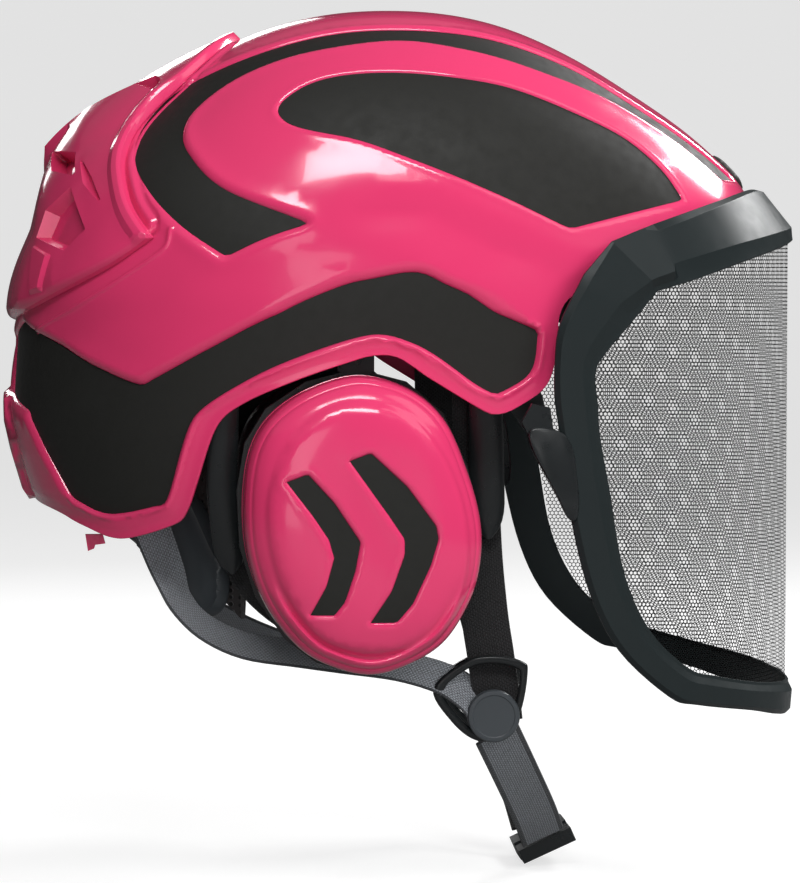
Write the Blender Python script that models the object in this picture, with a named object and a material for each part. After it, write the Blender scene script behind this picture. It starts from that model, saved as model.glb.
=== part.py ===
"""Forestry helmet: shell, vent cover and inlays, mesh visor, ear defenders, head harness and chin strap.

Frame: +X is the wearer's front, +Y the wearer's left, +Z up. The origin is on the underside of the crown
pad, where the helmet rests on the head. Lengths in the tables are millimetres and become metres in mm().
"""

import math

import bmesh
import bpy
from mathutils import Matrix, Vector
from mathutils.geometry import delaunay_2d_cdt, intersect_point_line

MM = 0.001
SIDES = (("r", -1), ("l", 1))  # the wearer's right is at -Y

# Shell
SHELL_CENTRE_X = 4.0
SHELL_CENTRE_Z = -85.0
SHELL_HALF_WIDTH = 106.5
SHELL_EXPONENT = 2.25
SHELL_WALL = 3.2
SHELL_ROWS = 12
PATCH_SCALE = 120.0  # length of one radian on the flattened side of the shell
MIDDLE_SNAP = 0.002  # radians from the middle plane that count as on it
# Outline of the shell on its middle plane (x, z), from the brow over the top to the back.
SHELL_OUTLINE = (
    (161, -85), (159, -56), (152.3, -35), (141, -23), (107, 3), (79, 20), (45, 34), (8, 39),
    (-17, 38), (-58, 27), (-95, 4), (-125, -22), (-140, -50), (-151, -85),
)
# Rim of the shell (x, z), from the middle of the brow along one side to the middle of the back.
RIM = (
    (161, -50), (146, -54), (120, -61), (96, -67), (74, -75), (63, -84), (61, -100), (57, -113),
    (46, -121), (38, -124), (31, -122), (11, -110), (-1, -102), (-11, -101), (-22, -104), (-42, -111),
    (-62, -120), (-72, -129), (-80, -150), (-85, -162), (-92, -168), (-114, -174), (-130, -170),
    (-143, -165), (-153, -162),
)
LINER_RIM = (
    (152, -46), (120, -50), (70, -55), (20, -58), (-30, -58), (-80, -58), (-120, -56), (-146, -54),
)
LINER_INSET = 5.2
LINER_THICKNESS = 8.0

# Inlays: runs of points (x, z) on the side of the shell; runs meet at corners.
STRIPE_RUNS = (
    ((-36, -50), (-68, -63)),
    ((-68, -63), (-85, -51), (-97, -38), (-103, -25), (-101, -13), (-93, -2), (-83, 6), (-54, 19),
     (-24, 27), (4, 29), (39, 26), (73, 15), (95, 3), (129, -19), (144, -31)),
    ((144, -31), (136, -31)),
    ((136, -31), (116, -15), (91, 0), (60, 12), (27, 21), (3, 24), (-24, 21), (-45, 16), (-65, 7),
     (-79, -4), (-84, -13), (-82, -22), (-69, -36), (-36, -50)),
)
LEAF_RUNS = (
    ((116, -40), (67, -52)),
    ((67, -52), (44, -41), (18, -30), (0, -23), (-17, -17), (-36, -13), (-45, -9), (-46, -3), (-35, 5),
     (-20, 9), (2, 10), (25, 8), (47, 4), (69, -4), (91, -14), (107, -27), (116, -40)),
)
BAND_RUNS = (
    ((-148, -89), (-135, -97), (-119, -106), (-102, -113), (-96, -111), (-73, -98), (-52, -87),
     (-28, -76), (-4, -70), (5, -69), (12, -71), (28, -79), (54, -92)),
    ((54, -92), (51, -108), (37, -117)),
    ((37, -117), (28, -112), (11, -100), (-3, -94), (-16, -94), (-43, -103), (-60, -111), (-77, -122),
     (-83, -131), (-92, -157), (-98, -161), (-119, -165), (-132, -160)),
    ((-132, -160), (-142, -133), (-149, -110), (-148, -89)),
)
INLAY_GAP = 0.6
INLAY_THICKNESS = 0.8
INLAY_SPACING = 12.0

# Rear vent cover: its edge on the side of the shell, from the middle plane down and round to it again.
COVER_SIDE = ((-72, 0), (-90, 4), (-108, -16), (-111, -33), (-107, -47), (-97, -57))
COVER_HEM = ((-97, -57), (-135, -77), (-153, -84))
COVER_GAP = 0.5
COVER_THICKNESS = 3.5
# Height of the cover on the middle plane by direction from the shell's centre, in degrees.
COVER_RIDGE = ((119, 4.0), (128, 5.5), (139, 8.0), (148, 10.5), (155.4, 14.5), (160, 7.0), (167, 4.0), (180, 4.0))
COVER_RISE = 26.0  # distance from the side edge over which the cover reaches its full height
COVER_SPACING = 11.0

# Visor
VISOR_PIVOT = (34, -93)
VISOR_REAR_X = 60.0
VISOR_DEPTH = 112.0
VISOR_HALF_WIDTH = 111.0
VISOR_EXPONENT = 2.2
VISOR_THICKNESS = 3.4
# Stations round one half of the frame, from the middle of the brow to the middle of the lower bar.
BROW_OUTER = (
    (158, 0, -36), (154, 28, -36), (146.5, 47, -36), (130.5, 73, -40.5), (111, 93, -46.5),
    (96, 101.5, -51.5), (82, 107, -57), (70.5, 109.4, -70),
)  # (x, |y|, z) where the brow leans in to the shell
VISOR_OUTER = (
    (61, -89), (59, -104), (59, -118), (61, -132), (65, -162), (73, -194), (85, -217), (106, -236),
    (118, -240), (144, -245), (162, -250), (171, -251),
)  # (x, z) on the visor's curve
VISOR_INNER = (
    (172.5, -55), (168, -56), (158, -59), (139, -64.5), (119, -71), (108, -74.2), (100, -76.5), (91, -87),
    (78, -102), (75, -109), (76, -120), (77, -133), (81, -155), (87, -187), (98, -210), (114, -225),
    (126, -229), (147, -234), (165, -237), (171, -238),
)
REAR_STATION = 9  # the inner edge is furthest back here
MESH_GAP = 1.5
MESH_THICKNESS = 0.4
MESH_OVERLAP = 3.5
MESH_TOP_GAP = 1.0
VISOR_STEPS = 3
MESH_COLUMNS = 14
PIVOT_PIN_RADIUS = 3.0
PIVOT_CLEARANCE = 0.3

# Ear defenders
CUP_CENTRE = (-16, -167)
CUP_OUTLINE = (
    (-17, -109), (2, -114), (16, -126), (25, -146), (30, -165), (30, -181), (26, -196), (16, -212),
    (2, -221), (-14, -225), (-32, -220), (-44, -211), (-55, -195), (-61, -176), (-62, -155),
    (-59, -137), (-51, -124), (-36, -114),
)
CUP_BASE = 94.3
CUP_WALL = 2.6
CUP_PROFILE = ((94.3, 1.0), (110.0, 1.0), (119.0, 0.965), (126.0, 0.89), (130.0, 0.80))  # |y|, scale
CUP_HOLLOW = ((127.0, 0.76), (118.0, 0.90), (108.0, 0.94), (94.3, 0.94))
PLATE_RANGE = (90.0, 94.0)
PLATE_SCALES = (1.04, 0.55)
CUSHION_RANGE = (76.0, 89.7)
CUSHION_SCALES = (0.90, 0.62)
CHEVRON_FRONT = (
    (-22, -141), (-14, -138), (0, -151), (11, -166), (12, -171), (9, -181), (2, -196), (-4, -203),
    (-14, -203), (-6, -191), (-1, -177), (-1, -171), (-7, -162),
)
CHEVRON_REAR = (
    (-46, -149), (-38, -146), (-28, -157), (-18, -172), (-20, -183), (-24, -195), (-28, -200),
    (-37, -200), (-31, -189), (-28, -178), (-30, -171), (-36, -162),
)
CHEVRON_RANGE = (130.3, 131.1)
EAR_AXIS = (93.5, -90.0)  # |y|, z of the fold-out hinge
EAR_X = -17.0
EAR_ARM_Y = 91.5

# Head harness
BAND_SEMI = (99.0, 79.0)
BAND_LEVELS = (-66.0, -88.0)
BAND_THICKNESS = 1.6
NAPE_SEMI = (108.0, 74.0)
HEAD_CENTRE_X = 4.0
WEBBING_THICKNESS = 1.4
HANG_START = -150.0  # the left half of the chin harness starts to lean here
HANG_SPAN = 68.0
HANG_REAR = -85.0  # the part behind this x stays where the cradle holds it
HANG_REACH = 65.0
HANG_DRIFT = (16.0, -17.0)  # x and z


def mm(x, y, z):
    """A point given in millimetres."""
    return Vector((x * MM, y * MM, z * MM))


# ---------------------------------------------------------------- materials

def plastic(name, colour, roughness, metallic=0.0):
    material = bpy.data.materials.new(name)
    material.use_nodes = True
    shader = material.node_tree.nodes["Principled BSDF"]
    shader.inputs["Base Color"].default_value = (*colour, 1.0)
    shader.inputs["Roughness"].default_value = roughness
    shader.inputs["Metallic"].default_value = metallic
    material.diffuse_color = (*colour, 1.0)
    return material


def make_materials():
    return {
        "pink": plastic("pink_gloss", (0.70, 0.035, 0.13), 0.22),
        "inlay": plastic("black_inlay", (0.020, 0.021, 0.018), 0.5),
        "visor": plastic("visor_plastic", (0.026, 0.033, 0.035), 0.35),
        "black": plastic("black_plastic", (0.012, 0.015, 0.016), 0.4),
        "grey": plastic("grey_plastic", (0.06, 0.066, 0.072), 0.45),
        "steel": plastic("steel_mesh", (0.10, 0.105, 0.11), 0.35, 0.9),
        "pin": plastic("steel_pin", (0.55, 0.55, 0.56), 0.3, 1.0),
        "foam": plastic("black_foam", (0.025, 0.025, 0.027), 0.9),
        "leather": plastic("seal_skin", (0.018, 0.018, 0.019), 0.55),
        "web_black": plastic("black_webbing", (0.015, 0.015, 0.016), 0.85),
        "web_grey": plastic("grey_webbing", (0.16, 0.175, 0.19), 0.85),
        "padding": plastic("mesh_padding", (0.03, 0.028, 0.028), 0.9),
    }


# ---------------------------------------------------------------- mesh tools

def finish(name, bm, material, sharp=40.0):
    """Turn a closed bmesh into a named object."""
    bmesh.ops.recalc_face_normals(bm, faces=bm.faces)
    mesh = bpy.data.meshes.new(name)
    bm.to_mesh(mesh)
    bm.free()
    mesh.materials.append(material)
    mesh.shade_smooth()
    mesh.set_sharp_from_angle(angle=math.radians(sharp))
    obj = bpy.data.objects.new(name, mesh)
    bpy.context.scene.collection.objects.link(obj)
    return obj


def set_origin(obj, point):
    """Move the object's origin to a point without moving its shape."""
    obj.data.transform(Matrix.Translation(-point))
    obj.location = point


def apply_modifier(obj):
    """Keep the evaluated shape as the object's own mesh."""
    graph = bpy.context.evaluated_depsgraph_get()
    shaped = bpy.data.meshes.new_from_object(obj.evaluated_get(graph))
    obj.modifiers.clear()
    obj.data = shaped


def boolean(obj, other, operation):
    """Join or cut with another object, which is then removed."""
    modifier = obj.modifiers.new(operation.lower(), "BOOLEAN")
    modifier.operation = operation
    modifier.object = other
    modifier.solver = "EXACT"
    bpy.context.view_layer.update()
    apply_modifier(obj)
    bpy.data.objects.remove(other)
    return obj


def smooth_run(points, steps):
    """A smooth curve (Catmull-Rom) through the points, with steps pieces between each two."""
    if len(points) == 2:
        return [Vector(points[0]).lerp(Vector(points[1]), i / steps) for i in range(steps + 1)]
    vectors = [Vector(p) for p in points]
    padded = [2 * vectors[0] - vectors[1], *vectors, 2 * vectors[-1] - vectors[-2]]
    curve = []
    for a, b, c, d in zip(padded, padded[1:], padded[2:], padded[3:]):
        for i in range(steps):
            t = i / steps
            curve.append(0.5 * (2 * b + (c - a) * t + (2 * a - 5 * b + 4 * c - d) * t * t
                                + (3 * b - a - 3 * c + d) * t ** 3))
    return [*curve, vectors[-1]]


def respaced(points, spacing):
    """The same curve with points about one spacing apart, ends kept."""
    lengths = [0.0]
    for a, b in zip(points, points[1:]):
        lengths.append(lengths[-1] + (b - a).length)
    count = max(1, round(lengths[-1] / spacing))
    result = []
    index = 0
    for i in range(count):
        target = lengths[-1] * i / count
        while lengths[index + 1] < target:
            index += 1
        part = (target - lengths[index]) / (lengths[index + 1] - lengths[index])
        result.append(points[index].lerp(points[index + 1], part))
    return [*result, points[-1]]


def loft(name, rings, material, closed=False, sharp=40.0):
    """Skin a row of rings with equal point counts; the two ends are capped unless the row closes."""
    bm = bmesh.new()
    rows = [[bm.verts.new(p) for p in ring] for ring in rings]
    count = len(rows[0])
    pairs = list(zip(rows, rows[1:]))
    if closed:
        pairs.append((rows[-1], rows[0]))
    for low, high in pairs:
        for i in range(count):
            j = (i + 1) % count
            bm.faces.new((low[i], low[j], high[j], high[i]))
    if not closed:
        bm.faces.new(rows[0])
        bm.faces.new(rows[-1])
    return finish(name, bm, material, sharp)


def ribbon(name, left, right, thickness, material, closed=False, centred=True, up=None, sharp=40.0):
    """A flat band between two edge lines, thickened across its face.

    With centred off, the band grows only to the side that up points to."""
    rings = []
    count = len(left)
    for i in range(count):
        after = (i + 1) % count if closed else min(i + 1, count - 1)
        before = (i - 1) % count if closed else max(i - 1, 0)
        run = (left[after] + right[after]) - (left[before] + right[before])
        normal = run.cross(right[i] - left[i]).normalized()
        if up is not None and normal.dot(up(left[i])) < 0:
            normal = -normal
        low = -0.5 if centred else 0.0
        near = normal * thickness * MM * low
        far = normal * thickness * MM * (low + 1.0)
        rings.append([left[i] + near, right[i] + near, right[i] + far, left[i] + far])
    return loft(name, rings, material, closed, sharp)


def strap(name, route, width, thickness, material, across):
    """Webbing or a bar along a route of (x, y, z) points; across gives the direction of its width."""
    left = []
    right = []
    for i, point in enumerate(route):
        run = (route[min(i + 1, len(route) - 1)] - route[max(i - 1, 0)]).normalized()
        side = across(i / (len(route) - 1))
        side = (side - run * side.dot(run)).normalized() * width * MM / 2
        left.append(point - side)
        right.append(point + side)
    return ribbon(name, left, right, thickness, material)


def box(name, low, high, material):
    """A rectangular block between two corners."""
    bm = bmesh.new()
    size = [(b - a) * MM for a, b in zip(low, high)]
    centre = [(a + b) / 2 * MM for a, b in zip(low, high)]
    place = Matrix.Translation(centre) @ Matrix.Diagonal((*size, 1.0))
    bmesh.ops.create_cube(bm, size=1.0, matrix=place)
    return finish(name, bm, material)


def cylinder(name, centre, axis, radius, length, material, segments=20):
    """A round bar centred on a point, along an axis."""
    bm = bmesh.new()
    turn = Vector((0, 0, 1)).rotation_difference(Vector(axis)).to_matrix().to_4x4()
    bmesh.ops.create_cone(
        bm, cap_ends=True, segments=segments, radius1=radius * MM, radius2=radius * MM,
        depth=length * MM, matrix=Matrix.Translation(mm(*centre)) @ turn,
    )
    return finish(name, bm, material)


def side_plate(name, outline, low, high, side, material):
    """An outline (x, z) made solid between two distances from the middle plane."""
    rings = [[mm(x, side * y, z) for x, z in outline] for y in (low, high)]
    return loft(name, rings, material)


# ---------------------------------------------------------------- the shell's surface

OUTLINE_ANGLES = [math.atan2(z - SHELL_CENTRE_Z, x - SHELL_CENTRE_X) for x, z in SHELL_OUTLINE]
OUTLINE_RADII = [math.hypot(x - SHELL_CENTRE_X, z - SHELL_CENTRE_Z) for x, z in SHELL_OUTLINE]


def outline_radius(angle):
    """Distance from the shell's centre to its middle-plane outline, smooth between the points."""
    angle = min(max(angle, 0.0), math.pi)
    last = len(OUTLINE_ANGLES) - 2
    i = 0
    while i < last and OUTLINE_ANGLES[i + 1] < angle:
        i += 1
    span = OUTLINE_ANGLES[i + 1] - OUTLINE_ANGLES[i]
    t = (angle - OUTLINE_ANGLES[i]) / span

    def slope(k):
        if k in (0, last + 1):
            return 0.0
        rise = OUTLINE_RADII[k + 1] - OUTLINE_RADII[k - 1]
        return rise / (OUTLINE_ANGLES[k + 1] - OUTLINE_ANGLES[k - 1])

    a, b = OUTLINE_RADII[i], OUTLINE_RADII[i + 1]
    m, n = slope(i) * span, slope(i + 1) * span
    return (a * (2 * t ** 3 - 3 * t * t + 1) + m * (t ** 3 - 2 * t * t + t)
            + b * (3 * t * t - 2 * t ** 3) + n * (t ** 3 - t * t))


def to_flat(x, z):
    """The point on the flattened side of the shell that stands for (x, z) in side view."""
    dx, dz = x - SHELL_CENTRE_X, z - SHELL_CENTRE_Z
    angle = math.atan2(max(dz, 0.0), dx)
    reach = (math.hypot(dx, dz) if dz > 0 else abs(dx)) / outline_radius(angle)
    turn = math.asin(min(reach, 1.0) ** (SHELL_EXPONENT / 2)) * PATCH_SCALE
    low = dz if dz < 0 else 0.0
    return Vector((turn * math.cos(angle), turn * math.sin(angle) + low))


def from_flat(point, lift, side):
    """The point of the shell's surface, raised by lift, for a place on its flattened side."""
    turn = math.hypot(point.x, max(point.y, 0.0)) / PATCH_SCALE
    angle = math.atan2(max(point.y, 0.0), point.x)
    turn = min(turn, math.pi / 2)
    reach = math.sin(turn) ** (2 / SHELL_EXPONENT) * (outline_radius(angle) + lift)
    width = max(math.cos(turn), 0.0) ** (2 / SHELL_EXPONENT) * (SHELL_HALF_WIDTH + lift)
    if turn > math.pi / 2 - MIDDLE_SNAP:
        width = 0.0
    x = SHELL_CENTRE_X + reach * math.cos(angle)
    z = SHELL_CENTRE_Z + reach * math.sin(angle) + min(point.y, 0.0)
    return mm(x, side * width, z)


def half_width(x, z, inset):
    """Half the shell's width at (x, z), or -1 outside its outline."""
    dx, dz = x - SHELL_CENTRE_X, z - SHELL_CENTRE_Z
    angle = math.atan2(max(dz, 0.0), dx)
    reach = (math.hypot(dx, dz) if dz > 0 else abs(dx)) / (outline_radius(angle) - inset)
    if reach >= 1.0:
        return -1.0
    return (SHELL_HALF_WIDTH - inset) * (1 - reach ** SHELL_EXPONENT) ** (1 / SHELL_EXPONENT)


def along_ray(azimuth, elevation, inset):
    """Where a ray from the shell's centre meets the shell's surface."""
    flat = math.cos(elevation)
    direction = (flat * math.cos(azimuth), flat * math.sin(azimuth), math.sin(elevation))
    near, far = 0.0, 260.0
    for _ in range(40):
        middle = (near + far) / 2
        x = SHELL_CENTRE_X + middle * direction[0]
        z = SHELL_CENTRE_Z + middle * direction[2]
        if half_width(x, z, inset) > middle * abs(direction[1]):
            near = middle
        else:
            far = middle
    return mm(SHELL_CENTRE_X + near * direction[0], near * direction[1],
              SHELL_CENTRE_Z + near * direction[2])


def dome(name, rim, inset, thickness, rows, material):
    """A cap that follows the shell from a rim up to the crown, with a wall inside the surface."""
    columns = []
    for i, (x, z) in enumerate(rim):
        end = i in (0, len(rim) - 1)
        y = 0.0 if end else half_width(x, z, inset)
        azimuth = math.atan2(y, x - SHELL_CENTRE_X)
        elevation = math.atan2(z - SHELL_CENTRE_Z, math.hypot(x - SHELL_CENTRE_X, y))
        columns.append((azimuth, elevation))
    columns += [(-a, e) for a, e in reversed(columns[1:-1])]
    bm = bmesh.new()
    layers = []
    for depth in (inset, inset + thickness):
        crown = bm.verts.new(along_ray(0.0, math.pi / 2, depth))
        layer = []
        for azimuth, elevation in columns:
            rise = math.pi / 2 - elevation
            layer.append([bm.verts.new(along_ray(azimuth, elevation + rise * k / rows, depth))
                          for k in range(rows)] + [crown])
        layers.append(layer)
    count = len(columns)
    for i in range(count):
        j = (i + 1) % count
        for layer in layers:
            for k in range(rows - 1):
                bm.faces.new((layer[i][k], layer[j][k], layer[j][k + 1], layer[i][k + 1]))
            bm.faces.new((layer[i][rows - 1], layer[j][rows - 1], layer[i][rows]))
        outer, inner = layers
        bm.faces.new((outer[i][0], outer[j][0], inner[j][0], inner[i][0]))
    return finish(name, bm, material)


def inside(point, polygon):
    """Whether a flat point is inside a polygon."""
    result = False
    for a, b in zip(polygon, [*polygon[1:], polygon[0]]):
        if (a.y > point.y) != (b.y > point.y):
            if point.x < a.x + (point.y - a.y) * (b.x - a.x) / (b.y - a.y):
                result = not result
    return result


def flat_mesh(runs, spacing):
    """Triangles that fill an outline on the shell's flattened side: points and faces."""
    border = []
    for run in runs:
        border += respaced(smooth_run([to_flat(*p) for p in run], 8), spacing)[:-1]
    count = len(border)
    low_x, high_x = min(p.x for p in border), max(p.x for p in border)
    low_y, high_y = min(p.y for p in border), max(p.y for p in border)
    points = list(border)
    row = 0
    y = low_y + spacing / 2
    while y < high_y:
        x = low_x + spacing * (0.25 + 0.5 * (row % 2))
        while x < high_x:
            place = Vector((x, y))
            if inside(place, border) and min((place - b).length for b in border) > spacing * 0.55:
                points.append(place)
            x += spacing
        y += spacing * 0.87
        row += 1
    edges = [(i, (i + 1) % count) for i in range(count)]
    found, _, faces, _, _, _ = delaunay_2d_cdt(points, edges, [], 1, 1e-6)
    return found, faces


def patch(name, runs, spacing, side, low, high, material, both=False):
    """A plate on the shell between two heights above it; high is a function of (x, z)."""
    points, faces = flat_mesh(runs, spacing)
    bm = bmesh.new()
    halves = (1, -1) if both else (side,)
    sheets = []
    for lift in (lambda x, z: low, high):
        verts = {}
        for half in halves:
            for i, point in enumerate(points):
                base = from_flat(point, 0.0, half)
                place = from_flat(point, lift(base.x / MM, base.z / MM), half)
                on_middle = both and abs(place.y) < 1e-5
                if on_middle and (i, 1) in verts:
                    verts[i, half] = verts[i, 1]
                else:
                    if on_middle:
                        place.y = 0.0
                    verts[i, half] = bm.verts.new(place)
        sheets.append(verts)
    edge_count = {}
    for half in halves:
        for face in faces:
            for verts in sheets:
                bm.faces.new([verts[i, half] for i in face])
            for a, b in zip(face, [*face[1:], face[0]]):
                key = frozenset((sheets[0][a, half], sheets[0][b, half]))
                edge_count.setdefault(key, []).append((a, b, half))
    for uses in edge_count.values():
        if len(uses) == 1:
            a, b, half = uses[0]
            bm.faces.new((sheets[0][a, half], sheets[0][b, half], sheets[1][b, half], sheets[1][a, half]))
    return finish(name, bm, material)


# ---------------------------------------------------------------- shell parts

def gap_to_stretch(place, start, end):
    """Distance of a place from the straight stretch between two others."""
    _, part = intersect_point_line(place, start, end)
    return (place - start.lerp(end, min(max(part, 0.0), 1.0))).length


def cover_lift(x, z):
    """Height of the vent cover's outside: it rises from its side edge to a ridge with a peak."""
    direction = math.degrees(math.atan2(z - SHELL_CENTRE_Z, x - SHELL_CENTRE_X))
    ridge = COVER_RIDGE[-1][1]
    for (a, low), (b, high) in zip(COVER_RIDGE, COVER_RIDGE[1:]):
        if a <= direction <= b:
            ridge = low + (high - low) * (direction - a) / (b - a)
    edge = [Vector(p) for p in (*COVER_SIDE, *COVER_HEM)]
    place = Vector((x, z))
    away = min(gap_to_stretch(place, p, q) for p, q in zip(edge, edge[1:]))
    share = min(away / COVER_RISE, 1.0)
    base = COVER_GAP + COVER_THICKNESS
    return base + max(ridge - base, 0.0) * share * share * (3 - 2 * share)


def middle_arc(start, end):
    """Points (x, z) along the shell's middle-plane outline between two directions."""
    count = 8
    arc = []
    for i in range(count + 1):
        angle = start + (end - start) * i / count
        radius = outline_radius(angle)
        arc.append((SHELL_CENTRE_X + radius * math.cos(angle), SHELL_CENTRE_Z + radius * math.sin(angle)))
    return arc


def make_cover(materials):
    """The vent cover over the back of the crown, one piece across the middle plane."""
    hem_angle = math.pi - 0.005
    front_angle = math.atan2(112.0, -62.0)
    arc = middle_arc(hem_angle, front_angle)
    runs = (
        (arc[-1], *COVER_SIDE[1:]),
        (*COVER_HEM[:-1], arc[0]),
        arc,
    )
    return patch("rear_vent_cover", runs, COVER_SPACING, 1, COVER_GAP, cover_lift, materials["pink"], True)


def make_inlays(materials):
    high = INLAY_GAP + INLAY_THICKNESS
    for tag, side in SIDES:
        for name, runs in (("stripe", STRIPE_RUNS), ("leaf", LEAF_RUNS), ("side_band", BAND_RUNS)):
            patch(f"{name}_inlay_{tag}", runs, INLAY_SPACING, side, INLAY_GAP, lambda x, z: high,
                  materials["inlay"])


def make_pull_tab(materials):
    outline = ((-123, -174.3), (-116, -174.3), (-115, -178), (-119, -178.5), (-119.5, -180), (-122, -181))
    side_plate("rear_pull_tab", outline, 50, 53, -1, materials["pink"])


# ---------------------------------------------------------------- visor

def visor_y(x):
    """Half the visor's width at x."""
    part = min(max((x - VISOR_REAR_X) / VISOR_DEPTH, 0.0), 1.0)
    return VISOR_HALF_WIDTH * (1 - part ** VISOR_EXPONENT) ** (1 / VISOR_EXPONENT)


def visor_point(x, z):
    return mm(x, visor_y(x), z)


def mirrored(half):
    """A whole loop from one half of it, both ends on the middle plane."""
    ends = (half[0], half[-1])
    for point in ends:
        point.y = 0.0
    other = [Vector((p.x, -p.y, p.z)) for p in half]
    return [*other, *reversed(half[1:-1])]


def divided(points, steps):
    """The same row of points with each stretch cut into equal steps."""
    row = [points[0]]
    for a, b in zip(points, points[1:]):
        row += [[p + (q - p) * i / steps for p, q in zip(a, b)] for i in range(1, steps + 1)]
    return row


def make_visor(materials):
    brow = [mm(*p) for p in divided([*BROW_OUTER, (*VISOR_OUTER[0][:1], visor_y(VISOR_OUTER[0][0]),
                                                   VISOR_OUTER[0][1])], VISOR_STEPS)]
    cheek = [visor_point(*p) for p in divided(VISOR_OUTER, VISOR_STEPS)]
    outer = mirrored(brow + cheek[1:])
    inner = mirrored([visor_point(*p) for p in divided(VISOR_INNER, VISOR_STEPS)])
    ribbon("visor_frame", outer, inner, VISOR_THICKNESS, materials["visor"], closed=True, sharp=30.0)
    make_mesh([visor_point(*p) for p in VISOR_INNER], materials)


def sample(chain, x):
    """The point at x on a row of points whose x goes one way."""
    for a, b in zip(chain, chain[1:]):
        if min(a.x, b.x) <= x <= max(a.x, b.x):
            return a.lerp(b, (x - a.x) / (b.x - a.x))
    return min(chain, key=lambda p: abs(p.x - x))


def make_mesh(inner, materials):
    """The steel mesh, a thin upright curved sheet behind the frame's inner edge."""
    brow = inner[:REAR_STATION + 1]
    foot = inner[REAR_STATION:len(VISOR_INNER)]
    front, rear = foot[-1].x, foot[0].x
    depth = (VISOR_THICKNESS / 2 + MESH_GAP) * MM
    top = []
    low = []
    for i in range(MESH_COLUMNS + 1):
        x = front + (rear - front) * (1 - math.cos(math.pi / 2 * i / MESH_COLUMNS))
        y = visor_y(x / MM) * MM
        slope = Vector((0.0, 1.0)) if i == MESH_COLUMNS else Vector((x - rear, y * 0.8)).normalized()
        place = Vector((x, y)) - depth * (Vector((1.0, 0.0)) if i == 0 else slope)
        top.append(Vector((place.x, place.y, sample(brow, x).z - MESH_TOP_GAP * MM)))
        low.append(Vector((place.x, place.y, sample(foot, x).z - MESH_OVERLAP * MM)))
    top = [*(Vector((p.x, -p.y, p.z)) for p in reversed(top[1:])), *top]
    low = [*(Vector((p.x, -p.y, p.z)) for p in reversed(low[1:])), *low]
    ribbon("visor_mesh", top, low, MESH_THICKNESS, materials["steel"], centred=False,
           up=lambda p: Vector((VISOR_REAR_X * MM - p.x, -p.y, 0.0)))


def disc_outline(centre, radius, count, start=0.0, sweep=2 * math.pi):
    """Points (x, z) round a circle or an arc of one."""
    return [(centre[0] + radius * math.cos(start + sweep * i / count),
             centre[1] + radius * math.sin(start + sweep * i / count)) for i in range(count)]


def make_visor_arms(materials):
    x, z = VISOR_PIVOT
    lever = (
        *disc_outline(VISOR_PIVOT, 11.0, 10, math.radians(30), math.radians(235)),
        (49, -131), (58.4, -128), (56, -118), (46.5, -95),
    )
    web = ((46, -127), (50, -120), (57, -121.5), (58.6, -132), (62.6, -160), (51, -137))
    bridge = ((47.5, -128.5), (52, -123), (57.4, -124), (57.6, -129.5), (51, -132))
    for tag, side in SIDES:
        arm = side_plate(f"visor_arm_{tag}", lever, 94.8, 97.5, side, materials["black"])
        boolean(arm, side_plate("bridge", bridge, 95.5, 110.5, side, materials["black"]), "UNION")
        boolean(arm, side_plate("web", web, 108.6, 112.4, side, materials["black"]), "UNION")
        hole = PIVOT_PIN_RADIUS + PIVOT_CLEARANCE
        boolean(arm, cylinder("bore", (x, side * 96, z), (0, 1, 0), hole, 12, materials["black"]), "DIFFERENCE")
        set_origin(arm, mm(x, side * 96, z))
        pin = cylinder(f"visor_pivot_{tag}", (x, side * 97.2, z), (0, 1, 0), PIVOT_PIN_RADIUS, 8.0,
                       materials["pin"])
        head = cylinder("head", (x, side * 93.4, z), (0, 1, 0), 6.0, 2.0, materials["pin"])
        boolean(pin, head, "UNION")


# ---------------------------------------------------------------- ear defenders

def cup_ring(scale, y, side):
    """The cup's outline scaled about its centre at a distance from the middle plane."""
    cx, cz = CUP_CENTRE
    return [mm(cx + (x - cx) * scale, side * y, cz + (z - cz) * scale) for x, z in CUP_OUTLINE]


def make_ear_cup(tag, side, materials):
    rings = [cup_ring(scale, y, side) for y, scale in CUP_HOLLOW]
    rings += [cup_ring(scale, y, side) for y, scale in CUP_PROFILE]
    loft(f"ear_cup_{tag}", rings, materials["pink"])
    low, high = CHEVRON_RANGE
    side_plate(f"chevron_front_{tag}", CHEVRON_FRONT, low, high, side, materials["inlay"])
    side_plate(f"chevron_rear_{tag}", CHEVRON_REAR, low, high, side, materials["inlay"])


def make_ear_plate(tag, side, materials):
    """Back plate of the cup, with the lug that turns on the arm's foot."""
    near, far = PLATE_RANGE
    wide, narrow = PLATE_SCALES
    rings = [cup_ring(s, y, side) for s, y in ((wide, near), (wide, far), (narrow, far), (narrow, near))]
    plate = loft(f"ear_plate_{tag}", rings, materials["black"], closed=True)
    centre_y = side * EAR_ARM_Y
    lug = box("lug", (EAR_X - 7, centre_y - 3.5, -108), (EAR_X + 7, centre_y + 3.5, -100), materials["black"])
    boolean(plate, lug, "UNION")
    bore = cylinder("bore", (EAR_X, centre_y, -101), (0, 0, 1), 1.8, 6.4, materials["black"], 16)
    boolean(plate, bore, "DIFFERENCE")
    set_origin(plate, mm(EAR_X, centre_y, -100))


def make_ear_cushion(tag, side, materials):
    near, far = CUSHION_RANGE
    wide, narrow = CUSHION_SCALES
    middle = (wide + narrow) / 2
    bulge = (wide - narrow) / 2
    rings = []
    for i in range(8):
        angle = 2 * math.pi * i / 8
        y = (near + far) / 2 - (far - near) / 2 * math.cos(angle)
        rings.append(cup_ring(middle + bulge * math.sin(angle), y, side))
    loft(f"ear_cushion_{tag}", rings, materials["leather"], closed=True, sharp=60.0)


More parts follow.
